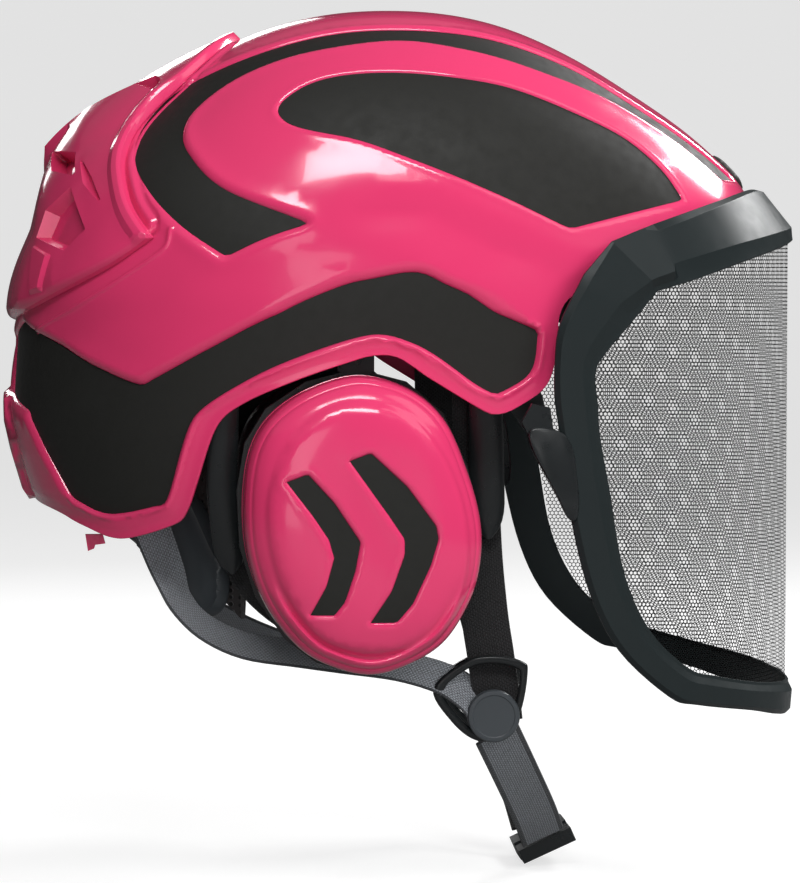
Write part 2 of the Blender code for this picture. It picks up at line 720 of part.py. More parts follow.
def make_ear_hinge(tag, side, materials):
    """Bracket on the shell, swinging carrier, and the arm that slides in the carrier."""
    axis_y, axis_z = EAR_AXIS
    black = materials["black"]

    def block(name, x_low, x_high, y_low, y_high, z_low, z_high):
        y_pair = sorted((side * y_low, side * y_high))
        return box(name, (x_low, y_pair[0], z_low), (x_high, y_pair[1], z_high), black)

    bracket = block(f"ear_bracket_{tag}", EAR_X - 18, EAR_X + 18, 98.6, 100.2, -93, -80)
    for x in (EAR_X - 16.2, EAR_X + 16.2):
        boolean(bracket, block("lug", x - 1.8, x + 1.8, 89.0, 99.4, -95, -85), "UNION")
    bore = cylinder("bore", (EAR_X, side * axis_y, axis_z), (1, 0, 0), 2.3, 40, black, 16)
    boolean(bracket, bore, "DIFFERENCE")

    carrier = block(f"ear_carrier_{tag}", EAR_X - 14, EAR_X + 14, 88.6, 96.0, -94, -84)
    stub = cylinder("stub", (EAR_X, side * axis_y, axis_z), (1, 0, 0), 2.0, 35, black, 16)
    boolean(carrier, stub, "UNION")
    boolean(carrier, block("slot", EAR_X - 7.3, EAR_X + 7.3, 90.2, 92.8, -99, -79), "DIFFERENCE")
    set_origin(carrier, mm(EAR_X, side * axis_y, axis_z))

    arm = block(f"ear_arm_{tag}", EAR_X - 7, EAR_X + 7, 90.5, 92.5, -99.0, -74)
    foot = cylinder("foot", (EAR_X, side * EAR_ARM_Y, -98.7), (0, 0, 1), 4.5, 2.0, black, 20)
    boolean(arm, foot, "UNION")
    boolean(arm, cylinder("pin", (EAR_X, side * EAR_ARM_Y, -101), (0, 0, 1), 1.5, 5.6, black, 16), "UNION")


def make_ears(materials):
    for tag, side in SIDES:
        make_ear_cup(tag, side, materials)
        make_ear_plate(tag, side, materials)
        make_ear_cushion(tag, side, materials)
        make_ear_hinge(tag, side, materials)


# ---------------------------------------------------------------- head harness

def ellipse_point(semi, angle, z):
    return mm(HEAD_CENTRE_X + semi[0] * math.cos(angle), semi[1] * math.sin(angle), z)


def arc_band(name, semi, start, end, count, levels, thickness, material):
    """A band standing on an arc of an ellipse round the head; levels gives its top and foot."""
    top = []
    foot = []
    for i in range(count + 1):
        part = i / count
        angle = start + (end - start) * part
        high, low = levels(part)
        top.append(ellipse_point(semi, angle, high))
        foot.append(ellipse_point(semi, angle, low))
    return ribbon(name, top, foot, thickness, material, centred=False,
                  up=lambda p: Vector((p.x - HEAD_CENTRE_X * MM, p.y, 0.0)))


def make_head_band(materials):
    count = 36
    angles = [2 * math.pi * i / count for i in range(count)]
    top = [ellipse_point(BAND_SEMI, a, BAND_LEVELS[0]) for a in angles]
    foot = [ellipse_point(BAND_SEMI, a, BAND_LEVELS[1]) for a in angles]
    ribbon("head_band", top, foot, BAND_THICKNESS, materials["black"], closed=True, centred=False,
           up=lambda p: Vector((p.x - HEAD_CENTRE_X * MM, p.y, 0.0)))
    arc_band("brow_pad", (94.3, 74.3), -0.9, 0.9, 12, lambda part: (-64, -90), 4.2, materials["padding"])


def make_crown(materials):
    cylinder("crown_pad", (0, 0, 1.5), (0, 0, 1), 28, 3.0, materials["padding"], 28)
    side_arch = ((81.9, -84), (81.6, -62), (78, -36), (64, -13), (34, 3.4), (16, 4.4), (0, 4.4))
    long_arch = ((102.0, -84), (101.6, -62), (96, -34), (78, -12), (44, 5), (18, 6.6), (0, 6.6))

    def arch(points):
        run = smooth_run([(*p, 0) for p in points], 2)
        return [*run, *(Vector((-p.x, p.y, 0)) for p in reversed(run[:-1]))]

    across = [mm(HEAD_CENTRE_X, p.x, p.y) for p in arch(side_arch)]
    strap("crown_strap_side", across, 20, 1.2, materials["web_black"], lambda t: Vector((1, 0, 0)))
    along = [mm(HEAD_CENTRE_X + p.x, 0, p.y) for p in arch(long_arch)]
    strap("crown_strap_long", along, 20, 1.2, materials["web_black"], lambda t: Vector((0, 1, 0)))


def nape_levels(part):
    """Top and foot of the nape cradle: low lobes at the sides, raised in the middle."""
    lobe = abs(2 * part - 1) ** 2
    return -137 - 26 * lobe, -166 - 40 * lobe


def make_nape(materials):
    reach = math.radians(47)
    cradle = arc_band("nape_cradle", NAPE_SEMI, math.pi - reach, math.pi + reach, 16, nape_levels, 3.0,
                      materials["grey"])
    cradle.data.shade_smooth()
    pad_reach = math.radians(52)
    arc_band("nape_pad", (101.5, 67.5), math.pi - pad_reach, math.pi + pad_reach, 14,
             lambda part: (nape_levels(part)[0] + 10, nape_levels(part)[1] - 3), 6.0, materials["padding"])
    case = box("ratchet_case", (-119.5, -24, -165), (-107.6, 24, -139), materials["black"])
    boolean(case, box("slot", (-115.2, -30, -157), (-111.8, 30, -147), materials["black"]), "DIFFERENCE")
    knob = cylinder("ratchet_knob", (-124.8, 0, -152), (1, 0, 0), 13, 10, materials["black"], 24)
    set_origin(knob, mm(-124.8, 0, -152))
    for tag, side in SIDES:
        x = -112.9 if side < 0 else -114.1
        y_pair = sorted((side * -14, side * 46))
        box(f"band_tail_{tag}", (x - 0.45, y_pair[0], -156), (x + 0.45, y_pair[1], -148), materials["black"])


# ---------------------------------------------------------------- chin harness

def hanging(x, y, z, side):
    """A place on the chin harness; the left half hangs a little further forward and lower."""
    low = min(max((HANG_START - z) / HANG_SPAN, 0.0), 1.0)
    fore = min(max((x - HANG_REAR) / HANG_REACH, 0.0), 1.0)
    share = low * low * (3 - 2 * low) * fore * fore * (3 - 2 * fore) if side > 0 else 0.0
    return mm(x + HANG_DRIFT[0] * share, side * y, z + HANG_DRIFT[1] * share)


def route(points, side, steps=3):
    """A smooth route through (x, |y|, z) points on one side."""
    return [hanging(*p, side) for p in smooth_run(points, steps)]


def fore_aft(_):
    return Vector((1, 0, 0))


def make_guides(side, tag, materials):
    front = ((35, 97.6, -63), (35, 96.4, -71), (34.5, 91, -80), (34, 89.5, -96), (34.5, 86, -120),
             (36, 79, -145), (37, 74.5, -175))
    rear = ((-69, 90, -92), (-69, 89, -110), (-69, 87, -130), (-69, 82.5, -155), (-65, 76.5, -188))
    strap(f"front_guide_{tag}", route(front, side, 2), 14, 3.0, materials["black"], fore_aft)
    strap(f"rear_guide_{tag}", route(rear, side, 2), 12.5, 3.0, materials["black"], fore_aft)


def make_webbing(side, tag, materials):
    front = ((31.5, 83.2, -112), (32, 76.2, -145), (33.5, 71.6, -178), (36, 73, -200), (38.3, 74.8, -216.8))
    nape = ((-89, 61.5, -188), (-88, 63.5, -200), (-76, 65, -214), (-42, 67.5, -220), (-10, 70.5, -225),
            (14, 75, -231.5))
    rear = ((-63.5, 72.5, -180), (-58, 71.2, -192), (-44, 70.8, -205), (-26, 71.0, -213))

    def twist(part):
        """Upright at the cradle, then on edge along the jaw."""
        return Vector((1 - part, 0, 0.55)) if part < 0.35 else Vector((0.12, 0, 1))

    strap(f"front_strap_{tag}", route(front, side), 19, WEBBING_THICKNESS, materials["web_black"], fore_aft)
    strap(f"nape_strap_{tag}", route(nape, side), 16, WEBBING_THICKNESS, materials["web_grey"], twist)
    strap(f"rear_strap_{tag}", route(rear, side), 12, WEBBING_THICKNESS, materials["web_black"],
          lambda part: Vector((0.8, 0, 0.6)))


RING_OUTLINE = ((15, -235), (28, -224), (40, -222), (51, -224.5), (53, -229), (50, -245), (42, -255),
                (32, -256), (22, -248))
RING_CENTRE = (37, -238)
CAP_PLACE = (39, -246)


def make_junction(side, tag, materials):
    """Junction ring of the straps, with the round cap on its lower bar."""
    cx, cz = RING_CENTRE
    curve = smooth_run([(*p, 0) for p in (*RING_OUTLINE, RING_OUTLINE[0])], 2)[:-1]

    def ring(scale, y):
        return [hanging(cx + (p.x - cx) * scale, y, cz + (p.y - cz) * scale, side) for p in curve]

    rings = [ring(0.98, 74.2), ring(1.0, 76.0), ring(0.98, 77.8), ring(0.74, 77.8), ring(0.74, 74.2)]
    body = loft(f"strap_junction_{tag}", rings, materials["black"], closed=True)
    middle = hanging(CAP_PLACE[0], 76.0, CAP_PLACE[1], side) / MM
    bar = box("bar", (middle.x - 12, middle.y - 1.5, middle.z - 8), (middle.x + 11, middle.y + 1.5, middle.z + 2),
              materials["black"])
    boolean(body, bar, "UNION")
    cap = cylinder("cap", (middle.x, middle.y + side * 2.4, middle.z), (0, 1, 0), 10.5, 4.0, materials["black"], 24)
    boolean(body, cap, "UNION")


def make_chin(materials):
    right = ((41, -73.5, -254.0), (50, -56, -271), (61, -32, -292), (67.5, -13.5, -306.0))
    left = ((57, 73.0, -271.5), (61, 57, -281), (65, 36, -294), (67.2, 18.6, -305.5))
    for tag, points, material in (("r", right, "web_grey"), ("l", left, "web_black")):
        line = [mm(*p) for p in smooth_run(points, 3)]
        strap(f"chin_strap_{tag}", line, 19, WEBBING_THICKNESS, materials[material],
              lambda part: Vector((1, 0, 0.45)))
    tilt = Matrix.Rotation(math.radians(-24), 4, "Y")
    place = Matrix.Translation(mm(69.5, 0, -310)) @ tilt

    def block(name, low, high, material):
        obj = box(name, low, high, materials[material])
        obj.data.transform(place)
        return obj

    socket = block("buckle_socket", (-12, 1, -4), (12, 17, 4), "black")
    boolean(socket, block("hollow", (-9.2, -1, -2.4), (9.2, 12, 2.4), "black"), "DIFFERENCE")
    boolean(socket, block("window", (-4.3, 3, 1), (4.3, 9, 6), "black"), "DIFFERENCE")
    plug = block("buckle_plug", (-12, -13, -3), (12, 0.6, 3), "black")
    boolean(plug, block("tongue", (-8.8, -1, -2.0), (8.8, 10.5, 0.2), "black"), "UNION")
    latch = block("buckle_latch", (-3.9, 3.4, 1.0), (3.9, 8.6, 4.9), "black")
    latch.data.materials[0] = materials["grey"]


def main():
    for obj in list(bpy.data.objects):
        bpy.data.objects.remove(obj)
    materials = make_materials()
    dome("main_shell", RIM, 0.0, SHELL_WALL, SHELL_ROWS, materials["pink"])
    liner_rim = [tuple(p) for p in smooth_run(LINER_RIM, 2)]
    dome("impact_liner", liner_rim, LINER_INSET, LINER_THICKNESS, 9, materials["foam"])
    make_cover(materials)
    make_inlays(materials)
    make_pull_tab(materials)
    make_visor(materials)
    make_visor_arms(materials)
    make_ears(materials)
    make_head_band(materials)
    make_crown(materials)
    make_nape(materials)
    for tag, side in SIDES:
        make_guides(side, tag, materials)
        make_webbing(side, tag, materials)
        make_junction(side, tag, materials)
    make_chin(materials)


main()
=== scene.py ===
import math

import bmesh
import bpy
import numpy as np
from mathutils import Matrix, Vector
from mathutils.geometry import delaunay_2d_cdt
from mathutils.kdtree import KDTree


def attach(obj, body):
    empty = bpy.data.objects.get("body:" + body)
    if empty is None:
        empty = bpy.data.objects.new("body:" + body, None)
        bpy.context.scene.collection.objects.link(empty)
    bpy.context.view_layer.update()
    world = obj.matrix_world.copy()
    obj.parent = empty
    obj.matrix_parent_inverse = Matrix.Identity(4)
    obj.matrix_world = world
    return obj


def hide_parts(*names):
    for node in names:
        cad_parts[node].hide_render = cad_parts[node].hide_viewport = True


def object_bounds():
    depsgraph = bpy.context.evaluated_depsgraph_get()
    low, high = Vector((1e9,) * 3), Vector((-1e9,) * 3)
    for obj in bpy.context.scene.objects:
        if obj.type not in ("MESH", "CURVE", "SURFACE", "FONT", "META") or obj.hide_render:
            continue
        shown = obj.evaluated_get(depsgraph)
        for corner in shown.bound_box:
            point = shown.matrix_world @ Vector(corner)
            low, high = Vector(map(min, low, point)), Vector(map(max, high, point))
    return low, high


# Lengths in this script are millimetres until a mesh is made.
MM = 0.001
SIDES = (("r", -1, "right"), ("l", 1, "left"))

# ---------------------------------------------------------------- numbers shared with the part

CENTRE_X, CENTRE_Z = 4.0, -85.0
HALF_WIDTH = 106.5
POWER = 2 / 2.25
WALL = 3.2
FLAT_SCALE = 120.0
# Where the flattened side meets the middle plane.
QUARTER = FLAT_SCALE * math.pi / 2
SHELL_OUTLINE = (
    (161, -85), (159, -56), (152.3, -35), (141, -23), (107, 3), (79, 20), (45, 34), (8, 39),
    (-17, 38), (-58, 27), (-95, 4), (-125, -22), (-140, -50), (-151, -85),
)
RIM = (
    (161, -50), (146, -54), (120, -61), (96, -67), (74, -75), (63, -84), (61, -100), (57, -113),
    (46, -121), (38, -124), (31, -122), (11, -110), (-1, -102), (-11, -101), (-22, -104), (-42, -111),
    (-62, -120), (-72, -129), (-80, -150), (-85, -162), (-92, -168), (-114, -174), (-130, -170),
    (-143, -165), (-153, -162),
)
STRIPE = (
    ((-36, -50), (-68, -63)),
    ((-68, -63), (-85, -51), (-97, -38), (-103, -25), (-101, -13), (-93, -2), (-83, 6), (-54, 19),
     (-24, 27), (4, 29), (39, 26), (73, 15), (95, 3), (129, -19), (144, -31)),
    ((144, -31), (136, -31)),
    ((136, -31), (116, -15), (91, 0), (60, 12), (27, 21), (3, 24), (-24, 21), (-45, 16), (-65, 7),
     (-79, -4), (-84, -13), (-82, -22), (-69, -36), (-36, -50)),
)
LEAF = (
    ((116, -40), (67, -52)),
    ((67, -52), (44, -41), (18, -30), (0, -23), (-17, -17), (-36, -13), (-45, -9), (-46, -3), (-35, 5),
     (-20, 9), (2, 10), (25, 8), (47, 4), (69, -4), (91, -14), (107, -27), (116, -40)),
)
BAND = (
    ((-148, -89), (-135, -97), (-119, -106), (-102, -113), (-96, -111), (-73, -98), (-52, -87),
     (-28, -76), (-4, -70), (5, -69), (12, -71), (28, -79), (54, -92)),
    ((54, -92), (51, -108), (37, -117)),
    ((37, -117), (28, -112), (11, -100), (-3, -94), (-16, -94), (-43, -103), (-60, -111), (-77, -122),
     (-83, -131), (-92, -157), (-98, -161), (-119, -165), (-132, -160)),
    ((-132, -160), (-138.5, -142), (-143.5, -125)),
    ((-143.5, -125), (-150.6, -118)),
    ((-150.6, -118), (-150.9, -96)),
    ((-150.9, -96), (-148, -89)),
)
CREASES = (
    ((-8, -34), (13, -35), (23, -39), (50, -51), (76, -63)),
    ((-90, -62), (-115, -78), (-140, -92)),
)
TUCK_LEVELS = (-200, -167, -158, -142, -129, -93, -85)
TUCK = (14, 9, 4, -1, -4, -1.5, 0)
# Vent cover on the flattened side, each place with its height over the shell: its front edge and lower
# corner, then its hem to the middle of the back.
COVER_EDGE_LEVELS = (
    (-91.4, 164.9, 3.2), (-95, 140, 3.2), (-103, 115, 3.2), (-112, 96, 3.2), (-115, 80, 3.2), (-112, 63, 3.2),
    (-105, 49, 3.2), (-97, 37, 3.4), (-85, 25, 4.2), (-102, 15, 5.2), (-125, 7, 5.6), (-155, 0, 5.6),
    (-188.5, -4, 4.8),
)
COVER_CORNER_INDEX = 8
# Along the middle plane: direction in degrees and height over the shell, from the front edge to the hem.
COVER_RIDGE = ((128, 5.5), (139, 8.0), (148, 10.5), (155.4, 14.5), (160, 7.0), (167, 4.0))
# Lines where the cover folds, and the outlines of its recesses.
COVER_FOLDS = (
    ((-112.5, 101, 4.6), (-128, 109, 8.8), (-155, 96, 12.2), (-171.3, 78.3, 14.5)),
    ((-112.5, 101, 4.6), (-117.5, 85, 3.8), (-141, 68, 6.6), (-168, 76, 10.6), (-171.3, 78.3, 14.5)),
    ((-141, 68, 6.6), (-134, 55, 5.2), (-156, 62, 8.2), (-168, 76, 10.6)),
    ((-143, 66.6, 0.8), (-136.3, 57.4, 0.8), (-155.5, 64, 2.0), (-165.5, 74.3, 3.0), (-143, 66.6, 0.8)),
    ((-156, 62, 8.2), (-167, 63, 9.0), (-149, 29, 6.2), (-147, 41, 7.0), (-134, 50, 5.4), (-134, 55, 5.2)),
    ((-134, 50, 5.4), (-117, 30, 4.2), (-126, 22, 4.4), (-149, 29, 6.2)),
    ((-134.5, 46.8, 0.4), (-120, 30.4, 0.4), (-126.5, 24.6, 0.4), (-146, 30.6, 0.8), (-144, 40, 0.8),
     (-134.5, 46.8, 0.4)),
    ((-112.5, 101, 4.6), (-118, 116, 5.0), (-126, 122.5, 5.8), (-138.5, 119, 7.8), (-150.5, 105, 9.8),
     (-157.5, 94.5, 12.0), (-155, 96, 12.2)),
    ((-120, 112.4, 0.8), (-128.5, 111.4, 1.0), (-152, 99.8, 2.5), (-154.5, 97.8, 3.5), (-149, 104.6, 2.5),
     (-137.6, 116.6, 1.5), (-126.6, 119.8, 1.0), (-120, 112.4, 0.8)),
    ((-137, 66, 5.8), (-127, 50.5, 4.4), (-110, 38, 3.7), (-123, 53, 4.0), (-137, 66, 5.8)),
    ((-133.6, 62, 3.6), (-125, 51.8, 1.2), (-113.9, 41.5, 1.6)),
    ((-148, 25.5, 6.0), (-133, 20.5, 5.2), (-134, 7, 4.8), (-143, 6, 4.9), (-148, 25.5, 6.0)),
    ((-146.6, 24.2, 7.4), (-134.8, 20.0, 6.8), (-135.6, 8.4, 6.2), (-141.6, 7.6, 6.3), (-146.6, 24.2, 7.4)),
)
# Fine ridge on the shell, a few millimetres under the cover's hem.
RIDGE = ((-150, -10), (-133, -4), (-106, 6), (-92, 13), (-80, 21), (-79, 27))
# Small double tab under the cover, on the middle of the back.
TAB = ((-200, -30), (-180, -34), (-173, -52), (-177, -76), (-200, -84))

# The visor's plan: half an oval that starts at its rear edge.
VISOR_REAR_X, VISOR_DEPTH, VISOR_HALF_WIDTH, VISOR_POWER = 60.0, 112.0, 111.0, 2.2
BROW_OUTER = (
    (158, 0, -36), (154, 28, -36), (146.5, 47, -36), (130.5, 73, -40.5), (111, 93, -46.5),
    (96, 101.5, -51.5), (82, 107, -57), (70.5, 109.4, -70),
)
VISOR_OUTER = (
    (61, -89), (59, -104), (59, -118), (61, -132), (65, -162), (73, -194), (85, -217), (106, -236),
    (118, -240), (144, -245), (162, -250), (171, -251),
)
VISOR_INNER = (
    (172.5, -55), (168, -56), (158, -59), (139, -64.5), (119, -71), (108, -74.2), (100, -76.5), (91, -87),
    (78, -102), (75, -109), (76, -120), (77, -133), (81, -155), (87, -187), (98, -210), (114, -225),
    (126, -229), (147, -234), (165, -237), (171, -238),
)
# Index of the inner edge's point where its upper part ends.
INNER_REAR = 9

# The left half of the chin harness drifts from this level down and this place forward.
HANG_START, HANG_SPAN, HANG_REAR, HANG_REACH, HANG_DRIFT = -150.0, 68.0, -85.0, 65.0, (16.0, -17.0)

CUP_CENTRE = (-16, -167)
CUP_OUTLINE = (
    (-17, -109), (2, -114), (16, -126), (25, -146), (30, -165), (30, -181), (26, -196), (16, -212),
    (2, -221), (-14, -225), (-32, -220), (-44, -211), (-55, -195), (-61, -176), (-62, -155),
    (-59, -137), (-51, -124), (-36, -114),
)
CUP_PLATEAU = (
    (-17, -119), (0, -124), (13, -137), (22, -158), (24, -180), (19, -199), (9, -211), (-8, -215),
    (-26, -213), (-39, -204), (-50, -182), (-53, -157), (-46, -137), (-33, -123),
)
CHEVRON_FRONT = (
    (-22, -141), (-14, -138), (0, -151), (11, -166), (12, -171), (9, -181), (2, -196), (-4, -203),
    (-14, -203), (-6, -191), (-1, -177), (-1, -171), (-7, -162),
)
CHEVRON_REAR = (
    (-46, -149), (-38, -146), (-28, -157), (-18, -172), (-20, -183), (-24, -195), (-28, -200),
    (-37, -200), (-31, -189), (-28, -178), (-30, -171), (-36, -162),
)


# ---------------------------------------------------------------- camera, lights, floor

# Where the camera looks, in metres, from which direction and how far away.
CAMERA_AIM = (0.0084, 0.0, -0.1403)
CAMERA_AZIMUTH, CAMERA_ELEVATION, CAMERA_DISTANCE = math.radians(-5), math.radians(3), 1.4


def make_camera():
    azimuth, elevation = CAMERA_AZIMUTH, CAMERA_ELEVATION
    away = Vector((math.sin(azimuth) * math.cos(elevation), -math.cos(azimuth) * math.cos(elevation),
                   math.sin(elevation)))
    data = bpy.data.cameras.new("camera")
    data.lens = 150
    data.sensor_width = 36
    data.sensor_fit = "HORIZONTAL"
    camera = bpy.data.objects.new("camera", data)
    camera.location = Vector(CAMERA_AIM) + away * CAMERA_DISTANCE
    camera.rotation_euler = away.to_track_quat("Z", "Y").to_euler()
    bpy.context.scene.collection.objects.link(camera)
    bpy.context.scene.camera = camera


# Soft lights: name, place and size in metres, watts, and whether they show in gloss.
LIGHTS = (
    ("near_soft", (-0.08, -1.0, 0.86), (0.75, 0.28), 9, True),
    ("far_soft", (0.93, 0.62, 0.67), (0.5, 0.3), 13, True),
    ("rear_strip", (-0.35, 1.15, 0.35), (0.7, 0.25), 3.5, True),
    ("near_glint", (-0.30, -1.35, 0.02), (0.30, 0.6), 0.9, True),
    ("front_soft", (0.95, -0.55, 1.0), (0.8, 0.8), 2.4, True),
    ("key_fill", (1.0, -1.0, 0.75), (0.9, 0.9), 15, False),
    ("low_fill", (0.2, -1.4, -0.1), (0.8, 0.3), 4, False),
)
LIGHT_AIM = (0.0, 0.0, -0.08)
# Strength of the surroundings as light; they look white to the camera.
WORLD_LIGHT = 0.13


def area_light(name, place, size, power, glossy):
    data = bpy.data.lights.new(name, "AREA")
    data.shape = "RECTANGLE"
    data.size, data.size_y = size
    data.energy = power
    light = bpy.data.objects.new(name, data)
    light.location = place
    light.rotation_euler = (Vector(place) - Vector(LIGHT_AIM)).to_track_quat("Z", "Y").to_euler()
    light.visible_glossy = glossy
    bpy.context.scene.collection.objects.link(light)


def make_studio():
    scene = bpy.context.scene
    scene.view_settings.view_transform = "Standard"
    world = bpy.data.worlds.new("studio")
    world.use_nodes = True
    tree = world.node_tree
    back = tree.nodes["Background"]
    back.inputs["Color"].default_value = (1.0, 1.0, 1.0, 1.0)
    strength = tree.nodes.new("ShaderNodeMapRange")
    strength.inputs["To Min"].default_value = WORLD_LIGHT
    strength.inputs["To Max"].default_value = 1.0
    tree.links.new(tree.nodes.new("ShaderNodeLightPath").outputs["Is Camera Ray"], strength.inputs["Value"])
    tree.links.new(strength.outputs["Result"], back.inputs["Strength"])
    scene.world = world
    for name, place, size, power, glossy in LIGHTS:
        area_light(name, place, size, power, glossy)


# In metres: the level of the lowest strap, the floor's gap under it, and the floor's rings (radius, height).
LOWEST_STRAP, FLOOR_GAP = -0.3185, 0.0006
FLOOR_RINGS = ((1.5, 0.0), (3.0, 0.0), (3.5, 0.06), (3.9, 0.25), (4.15, 0.6), (4.25, 1.1), (4.3, 3.0))


def make_floor():
    """A seamless pale floor under the lowest strap that curves up far behind and around."""
    low = min(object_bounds()[0][2], LOWEST_STRAP) - FLOOR_GAP
    bm = bmesh.new()
    centre = bm.verts.new((0.0, 0.0, low))
    rings = [[bm.verts.new((radius * math.cos(a), radius * math.sin(a), low + height)) for a in full_turn(96)]
             for radius, height in FLOOR_RINGS]
    for i, j in loop_edges(96):
        bm.faces.new((centre, rings[0][i], rings[0][j]))
        for inner, outer in zip(rings, rings[1:]):
            bm.faces.new((inner[i], outer[i], outer[j], inner[j]))
    mesh = bpy.data.meshes.new("floor")
    bm.to_mesh(mesh)
    bm.free()
    mesh.shade_smooth()
    floor = bpy.data.objects.new("floor", mesh)
    bpy.context.scene.collection.objects.link(floor)
    paint = Paint("floor_pale", (0.90, 0.90, 0.90), 0.8)
    paint.vary(3.0, 0.01, 0.05)
    paint.shader.inputs["Emission Color"].default_value = (1.0, 1.0, 1.0, 1.0)
    seen = paint.node("ShaderNodeLightPath").outputs["Is Camera Ray"]
    paint.tint(paint.blend(seen, (0.22, 0.22, 0.22), (0.38, 0.38, 0.38)))
    paint.tree.links.new(paint.math("MULTIPLY", seen, 0.70), paint.shader.inputs["Emission Strength"])
    mesh.materials.append(paint.material)


# ---------------------------------------------------------------- materials

class Paint:
    """A Principled material whose colour, roughness and bump are built up from nodes."""

    def __init__(self, name, colour, roughness, metallic=0.0, coat=0.0):
        self.material = bpy.data.materials.new(name)
        self.material.use_nodes = True
        self.tree = self.material.node_tree
        self.shader = self.tree.nodes["Principled BSDF"]
        self.colour = colour
        self.roughness = roughness
        self.shader.inputs["Metallic"].default_value = metallic
        self.shader.inputs["Coat Weight"].default_value = coat
        self.shader.inputs["Coat Roughness"].default_value = 0.05
        self.coord = self.node("ShaderNodeTexCoord").outputs
        self.height = None

    def node(self, kind, setup=(), **inputs):
        node = self.tree.nodes.new(kind)
        for key, value in dict(setup).items():
            setattr(node, key, value)
        for key, value in inputs.items():
            socket = node.inputs[int(key[1:])] if key[0] == "_" else node.inputs[key]
            if isinstance(value, bpy.types.NodeSocket):
                self.tree.links.new(value, socket)
            else:
                socket.default_value = value
        return node

    def math(self, operation, first, second=0.0):
        return self.node("ShaderNodeMath", {"operation": operation}, _0=first, _1=second).outputs[0]

    def noise(self, scale, detail=2.0, stretch=None):
        place = self.coord["Object"]
        if stretch:
            place = self.node("ShaderNodeMapping", Vector=place, Scale=stretch).outputs[0]
        return self.node("ShaderNodeTexNoise", Vector=place, Scale=scale, Detail=detail).outputs["Fac"]

    def blend(self, factor, low, high):
        """A colour between two, by a factor socket."""
        mix = self.node("ShaderNodeMix", {"data_type": "RGBA"})
        self.tree.links.new(factor, mix.inputs[0])
        for index, value in ((6, low), (7, high)):
            if isinstance(value, bpy.types.NodeSocket):
                self.tree.links.new(value, mix.inputs[index])
            else:
                mix.inputs[index].default_value = (*value, 1.0)
        return mix.outputs[2]

    def spread(self, factor, low, high, start=0.3, end=0.7):
        """A factor's range from start to end, mapped to low and high."""
        return self.node("ShaderNodeMapRange", _0=factor, _1=start, _2=end, _3=low, _4=high).outputs[0]

    def cells(self, scale):
        """Distance from the edges of packed cells."""
        return self.node("ShaderNodeTexVoronoi", {"feature": "DISTANCE_TO_EDGE"}, Vector=self.coord["Object"],
                         Scale=scale).outputs[0]

    def stripes(self, phase):
        """Rows of rounded ribs, one for each whole step of the phase."""
        return self.math("ABSOLUTE", self.math("SINE", self.math("MULTIPLY", phase, math.pi)))

    def vary(self, scale, colour_share, roughness_share):
        """Uneven colour at one scale and uneven gloss at a finer one."""
        low = tuple(c * (1 - colour_share) for c in self.colour)
        high = tuple(min(1.0, c * (1 + colour_share)) for c in self.colour)
        self.tint(self.blend(self.noise(scale), low, high))
        rough = self.spread(self.noise(scale * 7), self.roughness * (1 - roughness_share),
                            self.roughness * (1 + roughness_share))
        self.tree.links.new(rough, self.shader.inputs["Roughness"])

    def tint(self, colour):
        self.tree.links.new(colour, self.shader.inputs["Base Color"])

    def bump(self, height, distance, strength=1.0):
        """Relief of a given depth in millimetres, added to what is there."""
        node = self.node("ShaderNodeBump", Height=height, Distance=distance * MM, Strength=strength)
        if self.height is not None:
            self.tree.links.new(self.height, node.inputs["Normal"])
        self.height = node.outputs[0]
        self.tree.links.new(self.height, self.shader.inputs["Normal"])


def plastic(name, colour, roughness, grain, depth, specular=0.5, variation=0.06):
    """Moulded plastic: a fine cast grain and slightly uneven gloss."""
    paint = Paint(name, colour, roughness)
    paint.shader.inputs["Specular IOR Level"].default_value = specular
    paint.vary(28.0, variation, 0.12)
    paint.bump(paint.noise(grain, 3.0), depth)
    return paint.material


def foam_material():
    """Moulded bead foam: packed cells a few millimetres wide."""
    paint = Paint("foam_beads", (0.03, 0.03, 0.032), 0.85)
    edge = paint.spread(paint.cells(330.0), 0.0, 1.0, 0.0, 0.12)
    paint.vary(40.0, 0.2, 0.06)
    paint.tint(paint.blend(edge, (0.012, 0.012, 0.013), (0.035, 0.035, 0.037)))
    paint.bump(edge, 0.25)
    return paint.material


def leather_material():
    """Soft seal skin: creased grain with a dull sheen."""
    paint = Paint("seal_skin", (0.016, 0.016, 0.017), 0.5)
    paint.vary(60.0, 0.3, 0.15)
    paint.bump(paint.spread(paint.cells(650.0), 0.0, 1.0, 0.0, 0.2), 0.10)
    paint.bump(paint.noise(120.0, 4.0), 0.25)
    return paint.material


def padding_material():
    """Spacer fabric: rows of small punched openings over a knitted face."""
    paint = Paint("spacer_fabric", (0.030, 0.028, 0.028), 0.9)
    paint.shader.inputs["Sheen Weight"].default_value = 0.25
    holes = paint.node("ShaderNodeTexVoronoi", Vector=paint.coord["Object"], Scale=340.0,
                       Randomness=0.15).outputs["Distance"]
    face = paint.spread(holes, 0.0, 1.0, 0.28, 0.42)
    paint.vary(90.0, 0.2, 0.05)
    paint.tint(paint.blend(face, (0.004, 0.004, 0.004), (0.045, 0.040, 0.040)))
    paint.bump(face, 0.5)
    paint.bump(paint.noise(1500.0, 2.0), 0.08)
    return paint.material


YARN_WIDTH, RIB_LENGTH = 0.95, 1.5


